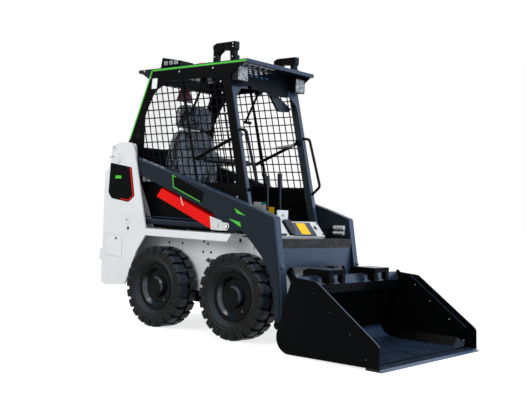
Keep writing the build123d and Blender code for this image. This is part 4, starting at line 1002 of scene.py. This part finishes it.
def build_frame_trim():
    for side, sign in SIDES.items():
        y = sign * FRAME_FACE
        out = (0, sign, 0)
        # gusset that closes the corner ahead of the tie-down
        add(f"frame_gusset_{side}", "white_paint", side_slab, (rounded(FRAME_GUSSET, 0.006), y, PANEL_DEPTH))
        add(f"frame_hole_rims_{side}", "white_paint", turned,
            *[((x, y, z), out, HOLE_RIM) for x, z in FRAME_HOLES])
        add(f"frame_plugs_{side}", "plastic_black", turned,
            *[((x, sign * (FRAME_FACE + 0.0004), z), out, HOLE_PLUG, 20) for x, z in FRAME_HOLES])
        # tie-down eye at the front and ports between the wheels
        x, z = TIE_DOWN
        add(f"tie_down_{side}", "zinc", turned, ((x, y, z), out, TIE_DOWN_RING, 28), slot="white_paint")
        add(f"tie_down_hole_{side}", "plastic_black", turned,
            ((x, sign * (FRAME_FACE + 0.0006), z), out, TIE_DOWN_HOLE))
        ports = []
        for x, z in PORTS:
            ports += [((x, y, z), out, PORT_NUT, 6), ((x, y, z), out, PORT_TIP, 20)]
        add(f"frame_ports_{side}", "dark_steel", turned, *ports)
        # weld bead under the fender
        bead = [(-0.82 + k * 0.008, sign * 0.3065, 0.6995 + 0.0004 * math.sin(k * 2.1)) for k in range(118)]
        add(f"fender_weld_{side}", "white_paint", round_bar, (bead, 0.0028, 6))
        bolts(f"fender_bolts_{side}", "zinc", [(x, sign * 0.34, FENDER_TOP) for x in FENDER_BOLTS_X], UP)


# Rear

DOOR_BACK = -1.3165
LOUVRE_LOW, LOUVRE_PITCH, LOUVRE_HALF_W = 0.640, 0.034, 0.222
DOOR_BOLTS_Z = (0.635, 0.665, 0.995, 1.025)
TAIL_LAMP_X, TAIL_LAMP_DEPTH = -1.304, 0.012
TAIL_LAMP_Y = (0.395, 0.455)
TAIL_LAMPS_Z = ((0.905, 0.965), (0.84, 0.9))
WINDOW_CORNERS = ((-0.325, 1.318), (0.325, 1.318), (0.325, 1.812), (-0.325, 1.812))


def build_rear_trim():
    heights = [LOUVRE_LOW + row * LOUVRE_PITCH for row in range(6)]
    add("door_louvres", "white_paint", prism,
        *[(oblong(-LOUVRE_HALF_W, z + 0.013, LOUVRE_HALF_W, z + 0.0165),
           lambda a, b, h: Vector((DOOR_BACK + 0.0005 - h, a, b - h * 0.8)), 0.006) for z in heights],
        body="door")
    mesh = bmesh.new()
    round_bar(mesh, eased([(-1.328, -0.328, 0.81), (-1.328, -0.328, 0.89)], 0.01), 0.004, 8)
    turned(mesh, (-1.316, -0.30, 0.76), AFT, [(0.012, 0), (0.012, 0.006), (0.009, 0.008)], 20)
    piece("door_latch", mesh, "plastic_black", "door")
    bolts("door_bolts", "zinc", [(DOOR_BACK, 0.348, z) for z in DOOR_BOLTS_Z], AFT, 0.006, False, body="door")
    for side, sign in SIDES.items():
        low, high = sorted(sign * y for y in TAIL_LAMP_Y)
        obj = add(f"tail_lamp_{side}", "red_lens", front_slab,
                  *[(rounded(oblong(low, z0, high, z1), 0.008), TAIL_LAMP_X, -TAIL_LAMP_DEPTH)
                    for z0, z1 in TAIL_LAMPS_Z])
        add_bevel(obj, EDGE)
    # rubber seal round the rear glass
    loop = [(cab_back(z) + LINE_W, y, z) for y, z in WINDOW_CORNERS]
    add("rear_window_seal", "plastic_black", round_bar,
        *[((a, b), 0.005, 8) for a, b in zip(loop, loop[1:] + loop[:1])])


# Arms and cylinders

ARM_PLATE = ((-0.570, 1.100), (-0.559, 1.018), (-0.262, 0.911), (-0.249, 0.985))
ARM_PLATE_DEPTH = 0.0008
ARM_LINE = ((-0.572, 1.104), (-0.560, 1.0145), (-0.283, 0.9145), (-0.2815, 0.9205), (-0.5525, 1.0185),
            (-0.5625, 1.0945), (-0.536, 1.0845), (-0.535, 1.0905))
KNUCKLE_MARKS = (((0.046, 0.884), (0.150, 0.835), (0.072, 0.849)),
                 ((-0.004, 0.813), (0.112, 0.757), (0.103, 0.790)))
ARM_STOP_AXIS = (0.97, 0, 0.22)
BRACE_CLIP = ((-0.474, -0.4575, 0.948), (-0.463, -0.4585, 0.93), (-0.452, -0.4585, 0.897),
              (-0.440, -0.4575, 0.888))
COUPLER_Y = ARM_INNER - 0.0303
# the couplers' heights and how far their pipes drop, and the collars' places and radii
COUPLERS = ((0.735, 0.05), (0.772, 0.035))
COLLARS = ((0.292, 0.0185), (0.318, 0.0175), (0.343, 0.0185), (0.362, 0.0175))
LIFT_Y = 0.421
LIFT_BASE, LIFT_EYE = (-1.022, 0.764), (-0.015, 0.755)
GLAND = [(0.0212, 0), (0.0215, 0.002), (0.0215, 0.014), (0.0205, 0.018)]
PIPE_NUT = [(0.010, 0), (0.010, 0.01), (0.0075, 0.012)]
RISERS = ((-0.775, 0.03), (-0.735, 0.045))
RISER_Y = 0.335
TILT_Y = 0.23
TILT_BASE, TILT_EYE = (0.268, 0.632), (0.495, 0.283)


def build_arm_trim():
    for side, sign in SIDES.items():
        head = Vector((0.4525, sign * 0.425, 0.515))
        mesh = bmesh.new()
        turned(mesh, head, ARM_STOP_AXIS, [(0.016, -0.004), (0.016, 0.003), (0.012, 0.005)])
        bolt(mesh, head + Vector(ARM_STOP_AXIS) * 0.004, ARM_STOP_AXIS, 0.008, False)
        piece(f"arm_stop_{side}", mesh, "post_paint", "lift_frame")
    # white clip over the red brace, and the pins at its end
    add("brace_clip", "label_white", round_bar, (eased(BRACE_CLIP, 0.01), 0.0026, 8), body="lift_frame")
    add("brace_pins", "rod_chrome", turned,
        ((-0.105, -0.4663, 0.761), (0, -1, 0), [(0.010, 0), (0.010, 0.003), (0.0075, 0.005)], 20),
        ((-0.015, -0.465, 0.755), (0, -1, 0), [(0.0095, 0), (0.0095, 0.0035), (0.006, 0.005)], 20),
        body="lift_frame", slot="zinc")
    # quick couplers on the left arm's inner face: collars, and short pipes that go into the arm
    collars = [((x, COUPLER_Y, z), FORE, [(0.0155, 0), (r, 0.001), (r, 0.009), (0.0155, 0.01)], 28)
               for z, drop in COUPLERS for x, r in COLLARS]
    add("coupler_collars", "zinc", turned, *collars, body="lift_frame")
    mesh = bmesh.new()
    for z, drop in COUPLERS:
        path = [(0.286, COUPLER_Y, z), (0.25, COUPLER_Y, z - 0.002), (0.222, COUPLER_Y, z - drop),
                (0.215, ARM_INNER - 0.001, z - drop - 0.01)]
        round_bar(mesh, eased(path, 0.03), 0.0085, 14)
        turned(mesh, (0.284, COUPLER_Y, z), AFT, [(0.012, 0), (0.012, 0.018), (0.0095, 0.02)], 20)
    piece("coupler_pipes", mesh, "plastic_black", "lift_frame")


def build_arm_marks():
    """The near arm's blank plate with its green line, and the marks on its knuckle."""
    sign = SIDES["right"]
    add("arm_plate", "black_paint", side_slab, (ARM_PLATE, sign * ARM_FACE, ARM_PLATE_DEPTH),
        body="lift_frame")
    add("arm_plate_line", "green_paint", side_slab,
        (ARM_LINE, sign * (ARM_FACE + ARM_PLATE_DEPTH), MARK_DEPTH), body="lift_frame", slot="grey_paint")
    add("knuckle_marks", "green_paint", side_slab,
        *[(mark, sign * KNUCKLE_FACE, MARK_DEPTH) for mark in KNUCKLE_MARKS],
        body="lift_frame", slot="grey_paint")


def lift_axis(x):
    """Height of the lift cylinder's axis at x."""
    (base_x, base_z), (eye_x, eye_z) = LIFT_BASE, LIFT_EYE
    return base_z + (x - base_x) * (eye_z - base_z) / (eye_x - base_x)


def build_pipes():
    """Rigid hydraulic pipes, each on one body."""
    for side, sign in SIDES.items():
        y = sign * LIFT_Y
        mesh = bmesh.new()
        path = [(x, y, lift_axis(x) + over)
                for x, over in ((-0.96, 0.016), (-0.955, 0.034), (-0.20, 0.032), (-0.19, 0.016))]
        round_bar(mesh, eased(path, 0.014), 0.0045)
        for x in (-0.955, -0.195):
            turned(mesh, (x, y, lift_axis(x) + 0.014), UP, PIPE_NUT, 6)
        piece(f"lift_pipe_{side}", mesh, "grey_paint", "lift_tubes")
        add(f"lift_gland_{side}", "grey_paint", turned,
            ((-0.172, y, lift_axis(-0.172)), (1, 0, -0.009), GLAND, 28), body="lift_tubes")
        y = sign * RISER_Y
        risers = []
        for x, lean in RISERS:
            path = [(x - 0.02, y, 1.035), (x, y, 0.98), (x + lean, y, 0.76), (x + lean + 0.005, y, 0.712)]
            risers.append((eased(path, 0.06), 0.0085, 12))
        add(f"riser_pipes_{side}", "plastic_black", round_bar, *risers)
        # the tilt cylinder's pipe, from its base to near its gland
        start = Vector((TILT_BASE[0], sign * TILT_Y, TILT_BASE[1]))
        end = Vector((TILT_EYE[0], sign * TILT_Y, TILT_EYE[1]))
        along = (end - start).normalized()
        out = Vector((along.z, 0, -along.x))
        a = start + along * 0.045 + out * 0.021
        b = start + along * 0.325 + out * 0.021
        add(f"tilt_pipe_{side}", "grey_paint", round_bar,
            (eased([a, a + out * 0.012, b + out * 0.012, b], 0.01), 0.004), body="tilt_tubes")


# Bucket

LIP_X, LIP_Z, LIP_BOLT_PITCH = 0.7052, 0.397, 0.125
SHELL_WELD = ((0.6705, 0.425), (0.640, 0.33), (0.606, 0.22), (0.588, 0.155), (0.590, 0.115),
              (0.607, 0.075), (0.640, 0.040), (0.688, 0.022))
SHELL_WELD_Y = 0.588
# teeth of the step brackets, along their tops and down their feet
TEETH_X, TOOTH_DEPTH = 0.768, 0.003
TOP_TEETH_Y, TOP_TOOTH_PITCH, TOP_TEETH_Z = 0.181, 0.0157, (0.497, 0.515)
FEET_Y, FOOT_W = (0.178, 0.314), 0.026
FOOT_TEETH_Z = [0.438 + k * 0.011 for k in range(5)]


def build_bucket_trim():
    lip = [(LIP_X, k * LIP_BOLT_PITCH, LIP_Z) for k in range(-4, 5)]
    bolts("lip_bolts", "bucket_paint", lip, FORE, 0.0055, False, body="bucket")
    # weld beads where the shell meets the side plates
    for side, sign in SIDES.items():
        path = [(x, sign * SHELL_WELD_Y, z + 0.002) for x, z in SHELL_WELD]
        add(f"bucket_weld_{side}", "bucket_paint", round_bar, (eased(path, 0.03), 0.0035, 8), body="bucket")
    # serrated grip faces of the step brackets
    teeth = []
    for sign in (-1, 1):
        for k in range(11):
            y = sign * (TOP_TEETH_Y + k * TOP_TOOTH_PITCH)
            teeth.append(oblong(y - 0.005, TOP_TEETH_Z[0], y + 0.005, TOP_TEETH_Z[1]))
        for foot in FEET_Y:
            low, high = sorted((sign * foot, sign * (foot + FOOT_W)))
            teeth += [oblong(low, z, high, z + 0.005) for z in FOOT_TEETH_Z]
    add("step_bracket_teeth", "bucket_paint", front_slab,
        *[(tooth, TEETH_X, TOOTH_DEPTH) for tooth in teeth], body="bucket")


# Roof

ROOF_BOLTS = [(x, y, ROOF_TOP) for x in (-0.98, -0.72, -0.46, -0.35) for y in (-0.35, 0.35)]
ROOF_FRONT_X = 0.0255
BOX_FRONT_X, BOX_DEPTH = -0.150, 0.02
HANGING_BOX = ((0.10, 1.722), (0.196, 1.722), (0.346, 1.648), (0.32, 1.622), (0.201, 1.614))


def build_roof_trim():
    bolts("roof_bolts", "black_paint", ROOF_BOLTS, UP, 0.007)
    front = [(ROOF_FRONT_X, y, ROOF_TOP - 0.001) for y in (-0.372, 0.372)]
    add("roof_front_bead", "post_paint", round_bar, (front, 0.004))
    add("hanging_box", "plastic_black", front_slab, (rounded(HANGING_BOX, 0.012), BOX_FRONT_X, -BOX_DEPTH))
    add("hanging_box_stays", "black_paint", round_bar,
        *[([(-0.160, y, 1.70), (-0.160, y, 1.80)], 0.006, 8) for y in (0.13, 0.19)])


# Stage

FLOOR_SIZE = 40
FLOOR_GLOW = 0.76
SOFT_SKY, SOFT_STRENGTH = (0.93, 0.96, 1.0), 0.5
MIDDLE = (0, 0, 0.8)
# name, place, aim, size, power and colour
LIGHTS = (("front", (5.5, -0.5, 3.8), MIDDLE, (3.5, 3.5), 170, (0.95, 0.97, 1.0)),
          ("side", (-1.5, -6.5, 3.2), MIDDLE, (5, 3), 215, (1, 1, 1)),
          ("top", (-0.3, 0.3, 6.5), MIDDLE, (5, 5), 190, (1, 1, 1)),
          ("sky", (4.8, 5.8, 1.7), (0.2, 0, 0.8), (5.5, 3.3), 150, (0.42, 0.64, 1.0)))


def seen_directly(tree):
    """1 for rays from the camera, and for those by way of a reflection or clear plastic."""
    path = add_node(tree, "LightPath", {})
    first = {0: path["Is Camera Ray"], 1: path["Is Glossy Ray"]}
    second = {0: add_node(tree, "Math", first, operation="MAXIMUM")[0], 1: path["Is Transmission Ray"]}
    return add_node(tree, "Math", second, operation="MAXIMUM")[0]


def choose(tree, lit, seen, output):
    """Sends one shader to the light and another to the rays that are seen directly."""
    both = add_node(tree, "MixShader", {0: seen_directly(tree), 1: lit, 2: seen})
    tree.links.new(both[0], output.inputs[0])


def make_floor():
    mesh = bmesh.new()
    bmesh.ops.create_grid(mesh, x_segments=1, y_segments=1, size=FLOOR_SIZE)
    data = bpy.data.meshes.new("floor")
    mesh.to_mesh(data)
    mesh.free()
    floor = bpy.data.objects.new("floor", data)
    bpy.context.scene.collection.objects.link(floor)
    s = Surface("floor")
    s.set(Base_Color=s.mix(s.noise(0.5), (0.60, 0.60, 0.60), (0.62, 0.62, 0.62)), Roughness=0.9,
          Specular_IOR_Level=0.0)
    lit = s.shader.outputs[0]
    glow = s.node("Emission", {"Strength": FLOOR_GLOW})[0]
    choose(s.tree, lit, s.node("AddShader", {0: lit, 1: glow})[0], s.output)
    data.materials.append(s.material)


def make_world():
    world = bpy.data.worlds.new("studio")
    bpy.context.scene.world = world
    world.use_nodes = True
    tree = world.node_tree
    tree.nodes.clear()
    output = tree.nodes.new("ShaderNodeOutputWorld")
    soft = add_node(tree, "Background", {"Color": SOFT_SKY, "Strength": SOFT_STRENGTH})[0]
    white = add_node(tree, "Background", {"Color": (1, 1, 1), "Strength": 1.0})[0]
    choose(tree, soft, white, output)


def make_lights():
    for name, place, aim, size, power, colour in LIGHTS:
        data = bpy.data.lights.new(name, "AREA")
        data.shape = "RECTANGLE"
        data.size, data.size_y = size
        data.energy = power
        data.color = colour
        lamp = bpy.data.objects.new(name, data)
        lamp.location = place
        lamp.rotation_euler = (Vector(aim) - Vector(place)).to_track_quat("-Z", "Y").to_euler()
        bpy.context.scene.collection.objects.link(lamp)


make_camera()
make_world()
make_lights()
make_floor()
dress_nodes()
for end in ("front", "rear"):
    for wheel_side in SIDES:
        build_tyre(f"tyre_{end}_{wheel_side}")
build_seat()
build_cab_trim()
build_lamps()
build_controls()
build_front_trim()
build_cab_notices()
build_tower_trim()
build_tower_panel()
build_frame_trim()
build_rear_trim()
build_arm_trim()
build_arm_marks()
build_pipes()
build_bucket_trim()
build_roof_trim()
